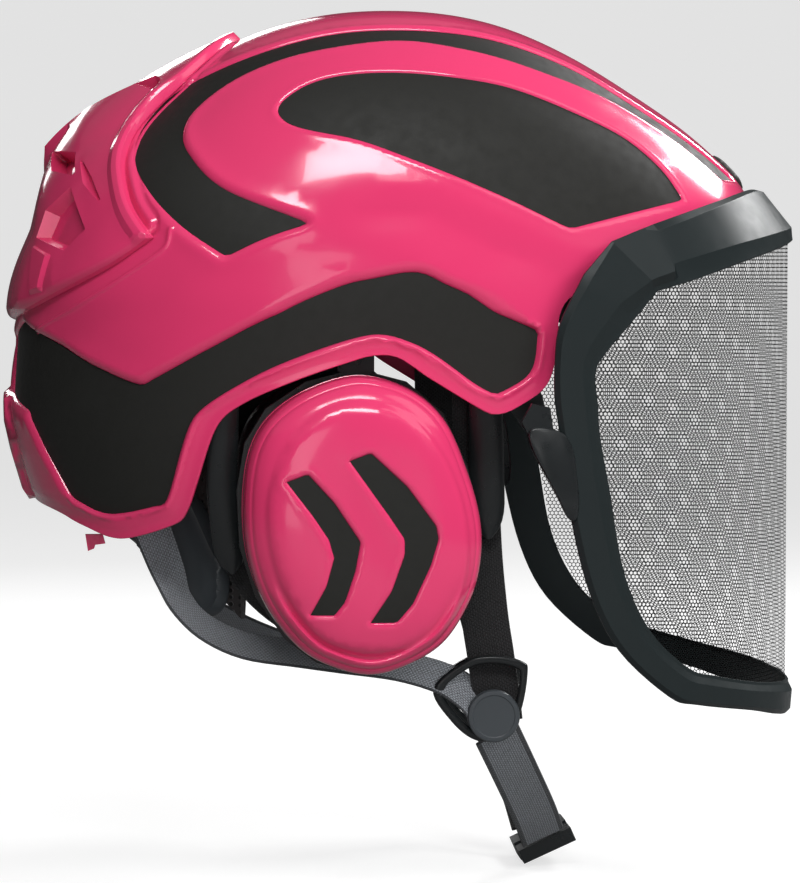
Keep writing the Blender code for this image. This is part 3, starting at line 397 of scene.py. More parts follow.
def webbing_material(name, colour, selvedge):
    """Woven webbing: ribs across the strap, crossed by lengthwise yarns, with a tighter edge, and painted
    shade in the weave's grooves.
    """
    paint = Paint(name, colour, 0.85)
    paint.shader.inputs["Sheen Weight"].default_value = 0.15
    place = paint.node("ShaderNodeSeparateXYZ", Vector=paint.coord["UV"]).outputs
    along, across = place[0], place[1]
    row = paint.math("DIVIDE", across, YARN_WIDTH)
    shift = paint.math("MULTIPLY", paint.math("FLOOR", row), 0.5)
    phase = paint.math("ADD", paint.math("DIVIDE", along, RIB_LENGTH), shift)
    rib, yarn = paint.stripes(phase), paint.stripes(row)
    weave = paint.math("POWER", paint.math("MULTIPLY", rib, yarn), 0.6)
    # Painted shade: the colour darkens in the weave's grooves and lightens on its rib tops, mixed with random
    # tone from fine noise.
    weave_shade_and_tone = paint.math("ADD", weave, paint.math("MULTIPLY", paint.noise(700.0, 3.0), 0.5))
    dark = tuple(c * 0.45 for c in colour)
    light = tuple(min(1.0, c * 1.45) for c in colour)
    body = paint.blend(paint.spread(weave_shade_and_tone, 0.0, 1.0, 0.3, 1.2), dark, light)
    edge = paint.math("GREATER_THAN", paint.math("ABSOLUTE", across), selvedge)
    paint.tint(paint.blend(edge, body, tuple(c * 0.3 for c in colour)))
    paint.shader.inputs["Roughness"].default_value = 0.85
    paint.bump(weave, 0.3)
    paint.bump(paint.noise(2200.0, 2.0), 0.05)
    return paint.material


def steel_material(name, colour, roughness):
    paint = Paint(name, colour, roughness, metallic=0.85)
    paint.vary(150.0, 0.25, 0.3)
    paint.bump(paint.noise(900.0, 3.0), 0.02)
    return paint.material


def pink_material():
    """Glossy moulded shell: even colour, faint flow, very fine waviness under a clear top."""
    paint = Paint("pink_gloss", (0.72, 0.042, 0.148), 0.17, coat=0.5)
    paint.vary(9.0, 0.04, 0.10)
    paint.bump(paint.noise(55.0, 2.0), 0.012)
    paint.bump(paint.noise(900.0, 2.0), 0.002)
    return paint.material


def make_materials():
    return {
        "pink": pink_material(),
        "inlay": plastic("inlay_matte", (0.0165, 0.0165, 0.0150), 0.60, 1500.0, 0.02, specular=0.3),
        "visor": plastic("visor_satin", (0.017, 0.022, 0.023), 0.38, 900.0, 0.004, specular=0.2),
        "black": plastic("black_satin", (0.012, 0.014, 0.015), 0.30, 800.0, 0.006),
        "grey": plastic("grey_satin", (0.052, 0.060, 0.067), 0.36, 1000.0, 0.01),
        "steel": steel_material("steel_dark", (0.11, 0.115, 0.12), 0.42),
        "pin": steel_material("steel_bright", (0.55, 0.55, 0.56), 0.28),
        "foam": foam_material(),
        "leather": leather_material(),
        "padding": padding_material(),
        "web_black": webbing_material("webbing_black", (0.017, 0.017, 0.018), 20.0),
        "web_grey": webbing_material("webbing_grey", (0.21, 0.225, 0.245), 7.4),
    }


# ---------------------------------------------------------------- curves and meshes

def curve_through(points, steps, closed=False):
    """A smooth curve (Catmull-Rom) through rows of numbers."""
    rows = np.array(points, float)
    if closed:
        rows = np.vstack([rows[-1], rows, rows[0], rows[1]])
    else:
        if len(rows) == 2:
            part = np.linspace(0, 1, steps + 1)[:, None]
            return rows[0] * (1 - part) + rows[1] * part
        rows = np.vstack([2 * rows[0] - rows[1], rows, 2 * rows[-1] - rows[-2]])
    a, b, c, d = rows[:-3, None], rows[1:-2, None], rows[2:-1, None], rows[3:, None]
    t = (np.arange(steps) / steps)[None, :, None]
    curve = 0.5 * (2 * b + (c - a) * t + (2 * a - 5 * b + 4 * c - d) * t ** 2
                   + (3 * b - a - 3 * c + d) * t ** 3)
    curve = curve.reshape(-1, rows.shape[1])
    return curve if closed else np.vstack([curve, rows[-2]])


def run_along(curve):
    """Distance along an open curve at each of its points."""
    return np.concatenate([[0], np.cumsum(np.linalg.norm(np.diff(curve, axis=0), axis=1))])


def respaced(curve, spacing):
    """The same open curve with points about one spacing apart, ends kept."""
    run = run_along(curve)
    count = max(1, round(run[-1] / spacing))
    targets = np.linspace(0, run[-1], count + 1)
    return columns(*(np.interp(targets, run, part) for part in curve.T))


def columns(*parts):
    """Rows of places from their columns; a single number fills its column."""
    return np.stack(np.broadcast_arrays(*parts), axis=1)


def smooth_line(points, steps, spacing):
    """An evenly divided smooth curve through rows of numbers."""
    return respaced(curve_through(points, steps), spacing)


def unit(vectors):
    return vectors / np.maximum(np.linalg.norm(vectors, axis=-1, keepdims=True), 1e-12)


def full_turn(count):
    """Evenly spaced angles round a circle."""
    return np.linspace(0, 2 * math.pi, count + 1)[:-1]


def squared(value, power):
    """A sine or cosine flattened or sharpened, with its sign kept."""
    return math.copysign(abs(value) ** power, value)


def piece(name, verts, faces, kind, body, replaces=(), normals=None, sharp=None, uvs=None):
    """A new object from rows of points in millimetres, riding on a body.

    Edges steeper than the sharp angle stay sharp, unless the points' own normals are given.
    """
    mesh = bpy.data.meshes.new(name)
    mesh.from_pydata((np.asarray(verts) * MM).tolist(), [], [list(map(int, f)) for f in faces])
    mesh.materials.append(MATERIALS[kind])
    mesh.shade_smooth()
    if uvs is not None:
        layer = mesh.uv_layers.new(name="strap")
        index = np.empty(len(mesh.loops), int)
        mesh.loops.foreach_get("vertex_index", index)
        layer.data.foreach_set("uv", np.asarray(uvs, np.float32)[index].ravel())
    if normals is not None:
        mesh.normals_split_custom_set_from_vertices(unit(np.asarray(normals)).tolist())
    elif sharp is not None:
        mesh.set_sharp_from_angle(angle=math.radians(sharp))
    obj = bpy.data.objects.new(name, mesh)
    bpy.context.scene.collection.objects.link(obj)
    if replaces:
        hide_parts(*replaces)
    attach(obj, body)
    if normals is None:
        fix_normals(obj)
    return obj


def fix_normals(obj):
    bm = bmesh.new()
    bm.from_mesh(obj.data)
    bmesh.ops.recalc_face_normals(bm, faces=bm.faces)
    bm.to_mesh(obj.data)
    bm.free()


def bevel(obj, width, segments=2, angle=30.0):
    """Rounded edges with clean shading on a hard piece."""
    modifier = obj.modifiers.new("rounding", "BEVEL")
    modifier.width = width * MM
    modifier.segments = segments
    modifier.limit_method = "ANGLE"
    modifier.angle_limit = math.radians(angle)
    modifier.harden_normals = True
    return obj


def strips(rows):
    """Four-sided faces between neighbouring closed rows of point numbers."""
    return [(low[i], low[j], high[j], high[i]) for low, high in zip(rows, rows[1:])
            for i, j in zip(range(len(low)), [*range(1, len(low)), 0])]


def skin(rings, closed=False):
    """Points and faces of a skin over rings with equal point counts, capped unless it is closed."""
    rings = np.asarray(rings, float)
    rows, count = rings.shape[:2]
    numbers = [*np.arange(rows * count).reshape(rows, count).tolist()]
    faces = strips(numbers + numbers[:1] if closed else numbers)
    if not closed:
        faces += [tuple(numbers[0][::-1]), tuple(numbers[-1])]
    return rings.reshape(-1, 3), faces


def open_edges(faces):
    """Edges that only one triangle uses, in its direction."""
    edges = np.vstack([faces[:, [0, 1]], faces[:, [1, 2]], faces[:, [2, 0]]]).tolist()
    seen = {tuple(edge) for edge in edges}
    return [(a, b) for a, b in edges if (b, a) not in seen]


def slab(top, foot, faces, edges):
    """Points and faces of a plate: two skins, and a wall along the open edges."""
    n = len(top)
    wall = [(b, a, a + n, b + n) for a, b in edges]
    return np.vstack([top, foot]), [tuple(f) for f in faces] + [tuple(f[::-1] + n) for f in faces] + wall


def band_section(half, thick, corner):
    """Cross-section of a flat strap: (across, out) with rounded edges."""
    arc = [(math.cos(a), math.sin(a)) for a in np.radians([0, 35, 65, 90])]
    edge = [(half - corner + corner * c, thick / 2 - corner + corner * s) for c, s in arc]
    flat = [(half * k, thick / 2) for k in (0.7, 0.5, 0.25, 0.0, -0.25, -0.5, -0.7)]
    top = edge + flat + [(-x, y) for x, y in reversed(edge)]
    return top + [(-x, -y) for x, y in top]


def strap(name, route, width, thickness, kind, across, replaces=(), corner=None, dome=0.0):
    """Webbing or a curved bar along a route of points; across(t) gives the direction of its width."""
    route = np.asarray(route, float)
    count = len(route)
    share = np.linspace(0, 1, count)
    run = unit(np.gradient(route, axis=0))
    side = np.array([across(t) for t in share], float)
    side = unit(side - run * (side * run).sum(1, keepdims=True))
    out = np.cross(run, side)
    length = run_along(route)
    rings, uvs = [], []
    for i, t in enumerate(share):
        reach = (width(t) if callable(width) else width) / 2
        section = band_section(reach, thickness, corner or thickness * 0.45)
        section = [(a, o + math.copysign(dome * max(0.0, 1 - (a / reach) ** 2), o)) for a, o in section]
        rings.append([route[i] + side[i] * a + out[i] * o for a, o in section])
        uvs += [(length[i], a) for a, _ in section]
    piece(name, *skin(rings), kind, "helmet", replaces, sharp=50.0, uvs=uvs)


# ---------------------------------------------------------------- distances and triangles in a plane

# Grid rows and the smallest gap of a new point, as shares of the spacing; points closer than the limit merge.
ROW_SHARE, GAP_SHARE, MERGE_LIMIT = 0.866, 0.62, 1e-5
# Points handled together, to keep the tables of distances small.
CHUNK = 4000


def distance_to(points, curve, closed):
    """Distance of each flat point from a row of segments."""
    a = curve if closed else curve[:-1]
    b = np.roll(curve, -1, axis=0) if closed else curve[1:]
    result = np.empty(len(points))
    run = b - a
    square = np.maximum((run ** 2).sum(1), 1e-12)
    for start in range(0, len(points), CHUNK):
        p = points[start:start + CHUNK]
        dx, dy = p[:, None, 0] - a[:, 0], p[:, None, 1] - a[:, 1]
        t = np.clip((dx * run[:, 0] + dy * run[:, 1]) / square, 0, 1)
        dx, dy = dx - t * run[:, 0], dy - t * run[:, 1]
        result[start:start + CHUNK] = np.sqrt((dx * dx + dy * dy).min(1))
    return result


def is_inside(points, loop):
    a, b = loop, np.roll(loop, -1, axis=0)
    result = np.zeros(len(points), bool)
    rise = np.where(np.abs(b[:, 1] - a[:, 1]) < 1e-9, 1e-9, b[:, 1] - a[:, 1])
    for start in range(0, len(points), CHUNK):
        p = points[start:start + CHUNK]
        span = (a[:, 1] > p[:, None, 1]) != (b[:, 1] > p[:, None, 1])
        cross = p[:, None, 0] < a[:, 0] + (p[:, None, 1] - a[:, 1]) * (b[:, 0] - a[:, 0]) / rise
        result[start:start + CHUNK] = (span & cross).sum(1) % 2 == 1
    return result


def across_line(line, closed=False):
    """Directions to the right of a flat line's run."""
    run = np.roll(line, -1, axis=0) - np.roll(line, 1, axis=0) if closed else np.gradient(line, axis=0)
    return unit(columns(run[:, 1], -run[:, 0]))


def into_loop(line, loop, closed=False, probe=20):
    """Directions across a flat line on a loop's edge, towards the loop's inside."""
    inward = across_line(line, closed)
    return inward if is_inside(line[probe:probe + 1] + inward[probe:probe + 1], loop)[0] else -inward


def signed_distance(points, loop, reach=9.0):
    """Distance from a closed loop, negative inside; far points outside are left at the reach."""
    result = np.full(len(points), reach)
    low, high = loop.min(0) - reach, loop.max(0) + reach
    near = ((points > low) & (points < high)).all(1)
    if near.any():
        found = distance_to(points[near], loop, True)
        result[near] = np.where(is_inside(points[near], loop), -found, found)
    return result


def step(value, low, high):
    t = np.clip((value - low) / (high - low), 0, 1)
    return t * t * (3 - 2 * t)


def quarter_round(distance, width):
    """From 0 at an edge to 1 at a width from it, along a quarter of a circle."""
    return np.sqrt(1 - (1 - np.clip(distance / width, 0, 1)) ** 2)


def bell(value, width):
    return np.exp(-(value / width) ** 2)


def roll_up(distance, depth, width, lip=0.0):
    """Height beside a recess: its floor up to the edge, then a rounded rise to the surface."""
    rise = quarter_round(distance, width)
    crown = lip * bell(distance - width, width * 0.8)
    return np.where(distance <= 0, -depth, -depth * (1 - rise) + crown * rise)


def staggered_grid(border, spacing, row_spacing):
    """Flat places over a border's box, every other row shifted by half a spacing."""
    low, high = border.min(0), border.max(0)
    axes = (np.arange(low[0], high[0], spacing), np.arange(low[1], high[1], row_spacing))
    grid = np.stack(np.meshgrid(*axes), axis=-1)
    grid[1::2, :, 0] += spacing / 2
    return grid.reshape(-1, 2)


def with_free(taken, places, gap):
    """The taken points, and the places that keep a gap from all of them."""
    if not len(places):
        return taken
    tree = KDTree(len(taken))
    for i, place in enumerate(taken):
        tree.insert((*place, 0.0), i)
    tree.balance()
    free = np.array([tree.find((*place, 0.0))[2] > gap for place in places], bool)
    return np.vstack([taken, places[free]])


def triangulate(places, edges):
    """Triangles over flat places that keep the edges. None of the places may merge."""
    found, _, faces, _, _, _ = delaunay_2d_cdt([Vector(p) for p in places], edges, [], 1, MERGE_LIMIT)
    if len(found) != len(places):
        raise RuntimeError("flat places were merged, or two lines cross")
    return np.array([tuple(p) for p in found]), np.array(faces, int)


def loop_edges(count, start=0):
    return [(start + i, start + (i + 1) % count) for i in range(count)]


def nearest_loop(places, loops):
    return np.min([distance_to(places, loop, True) for loop in loops], axis=0) if loops else 9e9


def fill_region(border, loops, rows, fine, coarse, near=5.0, extra=None):
    """Triangles over a flat region, dense beside its loops. Border points come first."""
    points = [border, *loops]
    for loop in loops:
        normal = across_line(loop, True)
        for offset in rows:
            for way in (1, -1) if offset <= 1.0 else (1,):
                row = loop + normal * offset * way
                points.append(row[np.abs(distance_to(row, loop, True) - offset) < 0.1])
    if extra is not None:
        points.append(extra[nearest_loop(extra, loops) > 1.2])
    taken = np.vstack(points)
    border_line = np.vstack([border, border[:1]])
    keep = is_inside(taken, border) & (distance_to(taken, border_line, False) > 0.35)
    keep[:sum(map(len, (border, *loops)))] = True
    taken = taken[keep]
    for spacing, limit in ((fine, near), (coarse, None)):
        grid = staggered_grid(border, spacing, spacing * ROW_SHARE)
        grid = grid[is_inside(grid, border)]
        if limit is not None:
            grid = grid[nearest_loop(grid, loops) < limit]
        taken = with_free(taken, grid, spacing * GAP_SHARE)
    edges, start = [], 0
    for group in (border, *loops):
        edges += loop_edges(len(group), start)
        start += len(group)
    return triangulate(taken, edges)


# ---------------------------------------------------------------- the shell's surface

def radius_table():
    """The outline's distance from the centre by direction, evened out over a few degrees."""
    angles = np.array([math.atan2(z - CENTRE_Z, x - CENTRE_X) for x, z in SHELL_OUTLINE])
    radii = np.array([math.hypot(x - CENTRE_X, z - CENTRE_Z) for x, z in SHELL_OUTLINE])
    slopes = np.zeros(len(angles))
    slopes[1:-1] = (radii[2:] - radii[:-2]) / (angles[2:] - angles[:-2])
    table = np.linspace(0, math.pi, 1801)
    i = np.clip(np.searchsorted(angles, table, side="right") - 1, 0, len(angles) - 2)
    span = angles[i + 1] - angles[i]
    t = (table - angles[i]) / span
    value = (radii[i] * (2 * t ** 3 - 3 * t * t + 1) + slopes[i] * span * (t ** 3 - 2 * t * t + t)
             + radii[i + 1] * (3 * t * t - 2 * t ** 3) + slopes[i + 1] * span * (t ** 3 - t * t))
    reach = 70
    kernel = np.exp(-0.5 * (np.arange(-reach, reach + 1) / 22.0) ** 2)
    padded = np.pad(value, reach, mode="reflect")
    return table, np.convolve(padded, kernel / kernel.sum(), mode="valid")


ANGLES, RADII = radius_table()


def to_flat(points):
    """Flat places for (x, z) points on the side of the shell."""
    points = np.asarray(points, float)
    dx, dz = points[:, 0] - CENTRE_X, points[:, 1] - CENTRE_Z
    up = np.maximum(dz, 0)
    angle = np.arctan2(up, dx)
    reach = np.hypot(dx, up) / np.interp(angle, ANGLES, RADII)
    turn = np.arcsin(np.minimum(reach, 1.0) ** (1 / POWER)) * FLAT_SCALE
    return columns(turn * np.cos(angle), turn * np.sin(angle) + np.minimum(dz, 0))


def base_point(flat, inset=0.0):
    """The smooth shell, with y positive, for flat places."""
    u, v = flat[:, 0], flat[:, 1]
    up = np.maximum(v, 0)
    turn = np.hypot(u, up) / FLAT_SCALE
    angle = np.arctan2(up, u)
    radius = np.interp(angle, ANGLES, RADII) - inset
    reach = np.abs(np.sin(turn)) ** POWER * radius
    cosine = np.cos(turn)
    x = CENTRE_X + reach * np.cos(angle)
    z = CENTRE_Z + reach * np.sin(angle) + np.minimum(v, 0)
    y = np.sign(cosine) * np.abs(cosine) ** POWER * (HALF_WIDTH - inset)
    x += np.interp(z, TUCK_LEVELS, TUCK) * np.clip((CENTRE_X - x) / 157, 0, 1) ** 3
    return columns(x, y, z)


def frame_at(flat):
    """Tangents and outward normal of the smooth shell."""
    reach = 0.8
    du = (base_point(flat + [reach, 0]) - base_point(flat - [reach, 0])) / (2 * reach)
    dv = (base_point(flat + [0, reach]) - base_point(flat - [0, reach])) / (2 * reach)
    normal = unit(np.cross(du, dv))
    outward = base_point(flat) - [CENTRE_X, 0, CENTRE_Z]
    outward[:, 2] = np.maximum(outward[:, 2], 0)
    flip = np.sign((normal * outward).sum(1, keepdims=True))
    return du, dv, normal * flip


def raised(flat, height):
    """Shell points at a height function, with their shading normals."""
    du, dv, normal = frame_at(flat)
    lift = height(flat)
    reach = 0.12
    slope_u = (height(flat + [reach, 0]) - height(flat - [reach, 0])) / (2 * reach)
    slope_v = (height(flat + [0, reach]) - height(flat - [0, reach])) / (2 * reach)
    verts = base_point(flat) + normal * lift[:, None]
    bent = unit(np.cross(du + normal * slope_u[:, None], dv + normal * slope_v[:, None]))
    bent *= np.sign((bent * normal).sum(1, keepdims=True))
    return verts, bent


def outline_of(runs, spacing):
    """A closed flat outline from runs of (x, z) points that meet at corners."""
    loop = np.vstack([respaced(curve_through(to_flat(run), 8), spacing / 2)[:-1] for run in runs])
    for _ in range(3):
        loop = (np.roll(loop, 1, axis=0) + 2 * loop + np.roll(loop, -1, axis=0)) / 4
    return respaced(np.vstack([loop, loop[:1]]), spacing)[:-1]


def on_arc(angle):
    """A flat place on the middle plane, by its direction."""
    return QUARTER * math.cos(angle), QUARTER * math.sin(angle)


def middle_arc(start, spacing):
    """Flat places along the middle plane, from the back to a direction near the front."""
    count = round(QUARTER * (math.pi - start) / (spacing * ARC_SPACING))
    turn = np.linspace(math.pi, start, count + 1)[1:-1]
    return columns(QUARTER * np.cos(turn), QUARTER * np.sin(turn))


def shell_border(rim, spacing):
    """Flat border of the side: the rim from front to back, then up and over the middle plane."""
    edge = smooth_line(to_flat(rim), 8, spacing)
    front = math.atan2(max(edge[0][1], 0.0), edge[0][0])
    edge[0] = on_arc(front)
    edge[-1][0] = -QUARTER
    wall = respaced(np.array([edge[-1], (-QUARTER, 0.0)]), spacing * ARC_SPACING)[1:]
    return np.vstack([edge, wall, middle_arc(front, spacing)]), len(edge)


def on_middle(flat):
    return np.abs(np.hypot(flat[:, 0], np.maximum(flat[:, 1], 0)) - QUARTER) < 1e-3


def both_halves(verts, faces, middle, normals):
    """The mirrored and welded whole of one side; returns points, faces, normals and the far indices."""
    verts = verts.copy()
    normals = normals.copy()
    verts[middle, 1] = 0.0
    normals[middle, 1] = 0.0
    far = np.arange(len(verts))
    free = np.flatnonzero(~middle)
    far[free] = len(verts) + np.arange(len(free))
    flip = np.array([1, -1, 1])
    whole = np.vstack([verts, verts[free] * flip])
    turned = np.vstack([normals, normals[free] * flip])
    return whole, np.vstack([faces, far[faces][:, ::-1]]), turned, far


def outward(verts, faces, normals):
    """Faces turned so that they look along their points' normals."""
    a, b, c = verts[faces[:, 0]], verts[faces[:, 1]], verts[faces[:, 2]]
    wrong = (np.cross(b - a, c - a) * normals[faces[:, 0]]).sum(1) < 0
    faces = faces.copy()
    faces[wrong] = faces[wrong][:, ::-1]
    return faces


OUTLINE_STEP = 2.0
ARC_SPACING = 1.4
BAND_LOOP = outline_of(BAND, OUTLINE_STEP)
STRIPE_LOOP = outline_of(STRIPE, OUTLINE_STEP)
LEAF_LOOP = outline_of(LEAF, OUTLINE_STEP)
BORDER, RIM_COUNT = shell_border(RIM, OUTLINE_STEP)


def cover_border(spacing):
    """Flat border of the vent cover (front edge, hem, middle plane), and the ends of its first two parts."""
    side = smooth_line([p[:2] for p in COVER_EDGE_LEVELS[:COVER_CORNER_INDEX + 1]], 8, spacing)
    hem = smooth_line([p[:2] for p in COVER_EDGE_LEVELS[COVER_CORNER_INDEX:]], 8, spacing)
    start = math.atan2(side[0][1], side[0][0])
    side[0] = on_arc(start)
    hem[-1][0] = -QUARTER
    edge = np.vstack([side, hem[1:]])
    return np.vstack([edge, [(-QUARTER, 0.0)], middle_arc(start, spacing)]), len(edge), len(side)


COVER_LOOP, COVER_EDGE, COVER_CORNER = cover_border(1.8)
RIDGE_LINE = smooth_line(RIDGE, 6, 1.6)
CREASE_LINES = [smooth_line(to_flat(c), 6, 3.0) for c in CREASES]
# Each inlay's outline, the depth of its recess, and the width and lip of the rounded rise beside it.
INLAYS = {
    "stripe_inlay": (STRIPE_LOOP, 1.3, 3.0, 0.3),
    "leaf_inlay": (LEAF_LOOP, 0.9, 2.0, 0.15),
    "side_band_inlay": (BAND_LOOP, 1.9, 3.7, 0.35),
}
INLAY_PROUD, INLAY_BELOW = 0.25, 0.6
# How far the shell's rounded rim stands outside its border.
RIM_REACH = 0.5


def crease_fold(flat, line, fall, width, side):
    """Height of a facet that falls away on one side of a crease."""
    a, b = line[0], line[-1]
    run = (b - a) / np.linalg.norm(b - a)
    across = np.array([-run[1], run[0]]) * side
    depth = np.interp((flat - a) @ run, (line - a) @ run, (line - a) @ across)
    beyond = (flat - a) @ across - depth
    along = (flat - a) @ run
    length = np.linalg.norm(b - a)
    ends = step(along, -14, 10) * (1 - step(along, length - 4, length + 14))
    falling = np.clip(beyond, 0, width)
    return -fall * (np.sqrt(falling ** 2 + 0.35) - 0.59) * ends * (1 - step(beyond, width, width * 2.4))


def shell_height(flat):
    """Height of the shell's visible skin over its smooth base."""
    rim_gap = distance_to(flat, BORDER[:RIM_COUNT], False)
    loop, depth, width, lip = INLAYS["side_band_inlay"]
    band = signed_distance(flat, loop)
    flange = 1 - step(rim_gap, 7.0, 12.0)
    outside = step(band, -0.2, 0.4)
    height = roll_up(band, depth, 1.5, 0.0) * flange + roll_up(band, depth, width, lip) * (1 - flange)
    height += 0.55 * bell(band - 1.5, 0.8) * flange * outside
    height += 0.22 * np.clip(rim_gap - 5.0, -5, 0) * step(rim_gap, -4, 6) * outside
    for name in ("stripe_inlay", "leaf_inlay"):
        loop, depth, width, lip = INLAYS[name]
        height += roll_up(signed_distance(flat, loop), depth, width, lip)
    height += crease_fold(flat, CREASE_LINES[0], 0.11, 12, -1)
    height += crease_fold(flat, CREASE_LINES[1], 0.10, 10, 1)
    cover = distance_to(flat, COVER_LOOP[8:COVER_CORNER - 4], False)
    height += (0.8 * bell(cover - 2.4, 1.1) - 0.7 * bell(cover - 5.0, 0.9)) * ~is_inside(flat, COVER_LOOP)
    height += 0.75 * bell(distance_to(flat, RIDGE_LINE, False), 0.9) * step(flat[:, 0], -152, -140)
    height += 2.6 * (1 - step(signed_distance(flat, np.array(TAB, float), 5.0), -2.0, 0.6))
    return height


def rim_rings(verts, normals, away, thickness):
    """Points and normals of a rounded edge from the outside of a wall to its inside."""
    rings = []
    for turn in np.radians((35, 70, 110, 145)):
        depth = thickness / 2 * (1 - math.cos(turn))
        rings.append((verts - normals * depth + away * RIM_REACH * math.sin(turn),
                      normals * math.cos(turn) + away * math.sin(turn)))
    return rings


def shell_rows():
    """Extra flat places beside the vent cover, along the ridge and inside the rim, for fine relief."""
    side, rim = COVER_LOOP[:COVER_CORNER], BORDER[:RIM_COUNT]
    away, across, inward = -into_loop(side, COVER_LOOP), across_line(RIDGE_LINE), into_loop(rim, BORDER)
    rows = [side + away * offset for offset in (1.2, 2.4, 3.4, 4.2, 5.0, 5.9, 7.0)]
    rows += [RIDGE_LINE + across * offset for offset in (-2.6, -1.5, -0.7, 0, 0.7, 1.5, 2.6)]
    inner = np.vstack([rim + inward * offset for offset in (1.0, 2.2, 3.6, 5.0, 6.4)])
    return np.vstack([*rows, inner[distance_to(inner, rim, False) > 0.9]])


def rim_away(rim):
    """Directions out of the shell's edge, all round."""
    out = -into_loop(rim, BORDER)
    du, dv, _ = frame_at(rim)
    away = unit(du * out[:, :1] + dv * out[:, 1:])
    away[[0, -1], 1] = 0.0
    away = unit(away)
    return np.vstack([away, away[1:-1][::-1] * [1, -1, 1]])


def make_shell():
    """The shell's skin with its recesses, a rounded rim and a smooth inside, then the inlays."""
    flat, faces = fill_region(BORDER, [BAND_LOOP, STRIPE_LOOP, LEAF_LOOP],
                              (0.25, 0.7, 1.3, 2.1, 3.0, 4.1), 1.6, 4.2, extra=shell_rows())
    verts, normals = raised(flat, shell_height)
    outside, out_faces, out_normals, far = both_halves(verts, faces, on_middle(flat), normals)
    out_faces = outward(outside, out_faces, out_normals)

    inner, in_faces = fill_region(BORDER, [], (), 9.0, 9.0)
    normal = frame_at(inner)[2]
    inside, in_faces, in_normals, in_far = both_halves(base_point(inner) - normal * WALL, in_faces,
                                                       on_middle(inner), -normal)
    in_faces = outward(inside, in_faces, in_normals)

    rim = np.arange(RIM_COUNT)
    loop_out = np.concatenate([rim, far[rim[1:-1]][::-1]])
    loop_in = np.concatenate([rim, in_far[rim[1:-1]][::-1]])
    rings = rim_rings(outside[loop_out], out_normals[loop_out], rim_away(BORDER[:RIM_COUNT]), WALL)
    count, start = len(loop_out), len(outside)
    rows = [loop_out] + [start + k * count + np.arange(count) for k in range(len(rings))]
    start += count * len(rings)
    strip = [part for a, b, c, d in strips([*rows, start + loop_in]) for part in ((a, b, c), (a, c, d))]
    points = np.vstack([outside, *(ring for ring, _ in rings), inside])
    shading = np.vstack([out_normals, *(turned for _, turned in rings), in_normals])
    body = np.vstack([out_faces, outward(points, np.array(strip), shading), in_faces + start])
    piece("shell_skin", points, body, "pink", "helmet", ("main_shell",), shading)
    for name, (loop, depth, _, _) in INLAYS.items():
        make_inlay(name, flat, faces, loop, depth)


def faces_within(flat, faces, loop):
    """The points that the triangles inside a loop use, and those triangles renumbered."""
    used, index = np.unique(faces[is_inside(flat[faces].mean(1), loop)], return_inverse=True)
    return used, index.reshape(-1, 3)


def make_inlay(name, flat, faces, loop, depth):
    """A matt plate set into its recess, on both sides."""
    used, chosen = faces_within(flat, faces, loop)
    base, normal = base_point(flat[used]), frame_at(flat[used])[2]
    top = base + normal * (INLAY_PROUD - depth)
    foot = base + normal * (-depth - INLAY_BELOW)
    chosen = outward(top, chosen, normal)
    verts, body = slab(top, foot, chosen, open_edges(chosen))
    for tag, side, _ in SIDES:
        piece(f"{name}_{tag}_plate", verts * [1, side, 1], body if side > 0 else [f[::-1] for f in body],
              "inlay", "helmet", (f"{name}_{tag}",), sharp=40.0)


def flat_key(place):
    return round(place[0], 2), round(place[1], 2)


def facet_mesh(border, folds, seeds, spacing):
    """Triangles over a flat region whose edges follow the folds. Border points come first."""
    points, known = [tuple(p) for p in border], {}
    edges = loop_edges(len(border))
    for fold in folds:
        for a, b in zip(fold, fold[1:]):
            a, b = np.array(a[:2], float), np.array(b[:2], float)
            parts = max(1, round(float(np.linalg.norm(b - a)) / spacing))
            row = []
            for k in range(parts + 1):
                place = tuple(a + (b - a) * k / parts)
                if flat_key(place) not in known:
                    known[flat_key(place)] = len(points)
                    points.append(place)
                row.append(known[flat_key(place)])
            edges += [e for e in zip(row, row[1:]) if e[::-1] not in edges and e not in edges]
    taken = np.array(points)
    for places, gap in seeds:
        taken = with_free(taken, places[is_inside(places, border)], gap)
    return triangulate(taken, edges)


def cover_levels():
    """Coarse facets of the cover: flat corners, heights and triangles."""
    arc = [on_arc(math.radians(angle)) for angle, _ in COVER_RIDGE]
    ridge = [(x * 0.9995, y * 0.9995, height) for (x, y), (_, height) in zip(arc, COVER_RIDGE)]
    rim = [*COVER_EDGE_LEVELS, *ridge[::-1]]
    known = {flat_key(place): place[2] for fold in (rim, *COVER_FOLDS) for place in fold}
    index = {key: i for i, key in enumerate(known)}
    edges = [(index[flat_key(a)], index[flat_key(b)])
             for line in (rim + rim[:1], *COVER_FOLDS) for a, b in zip(line, line[1:])]
    places, faces = triangulate(np.array(list(known)), edges)
    return places, np.array(list(known.values())), faces


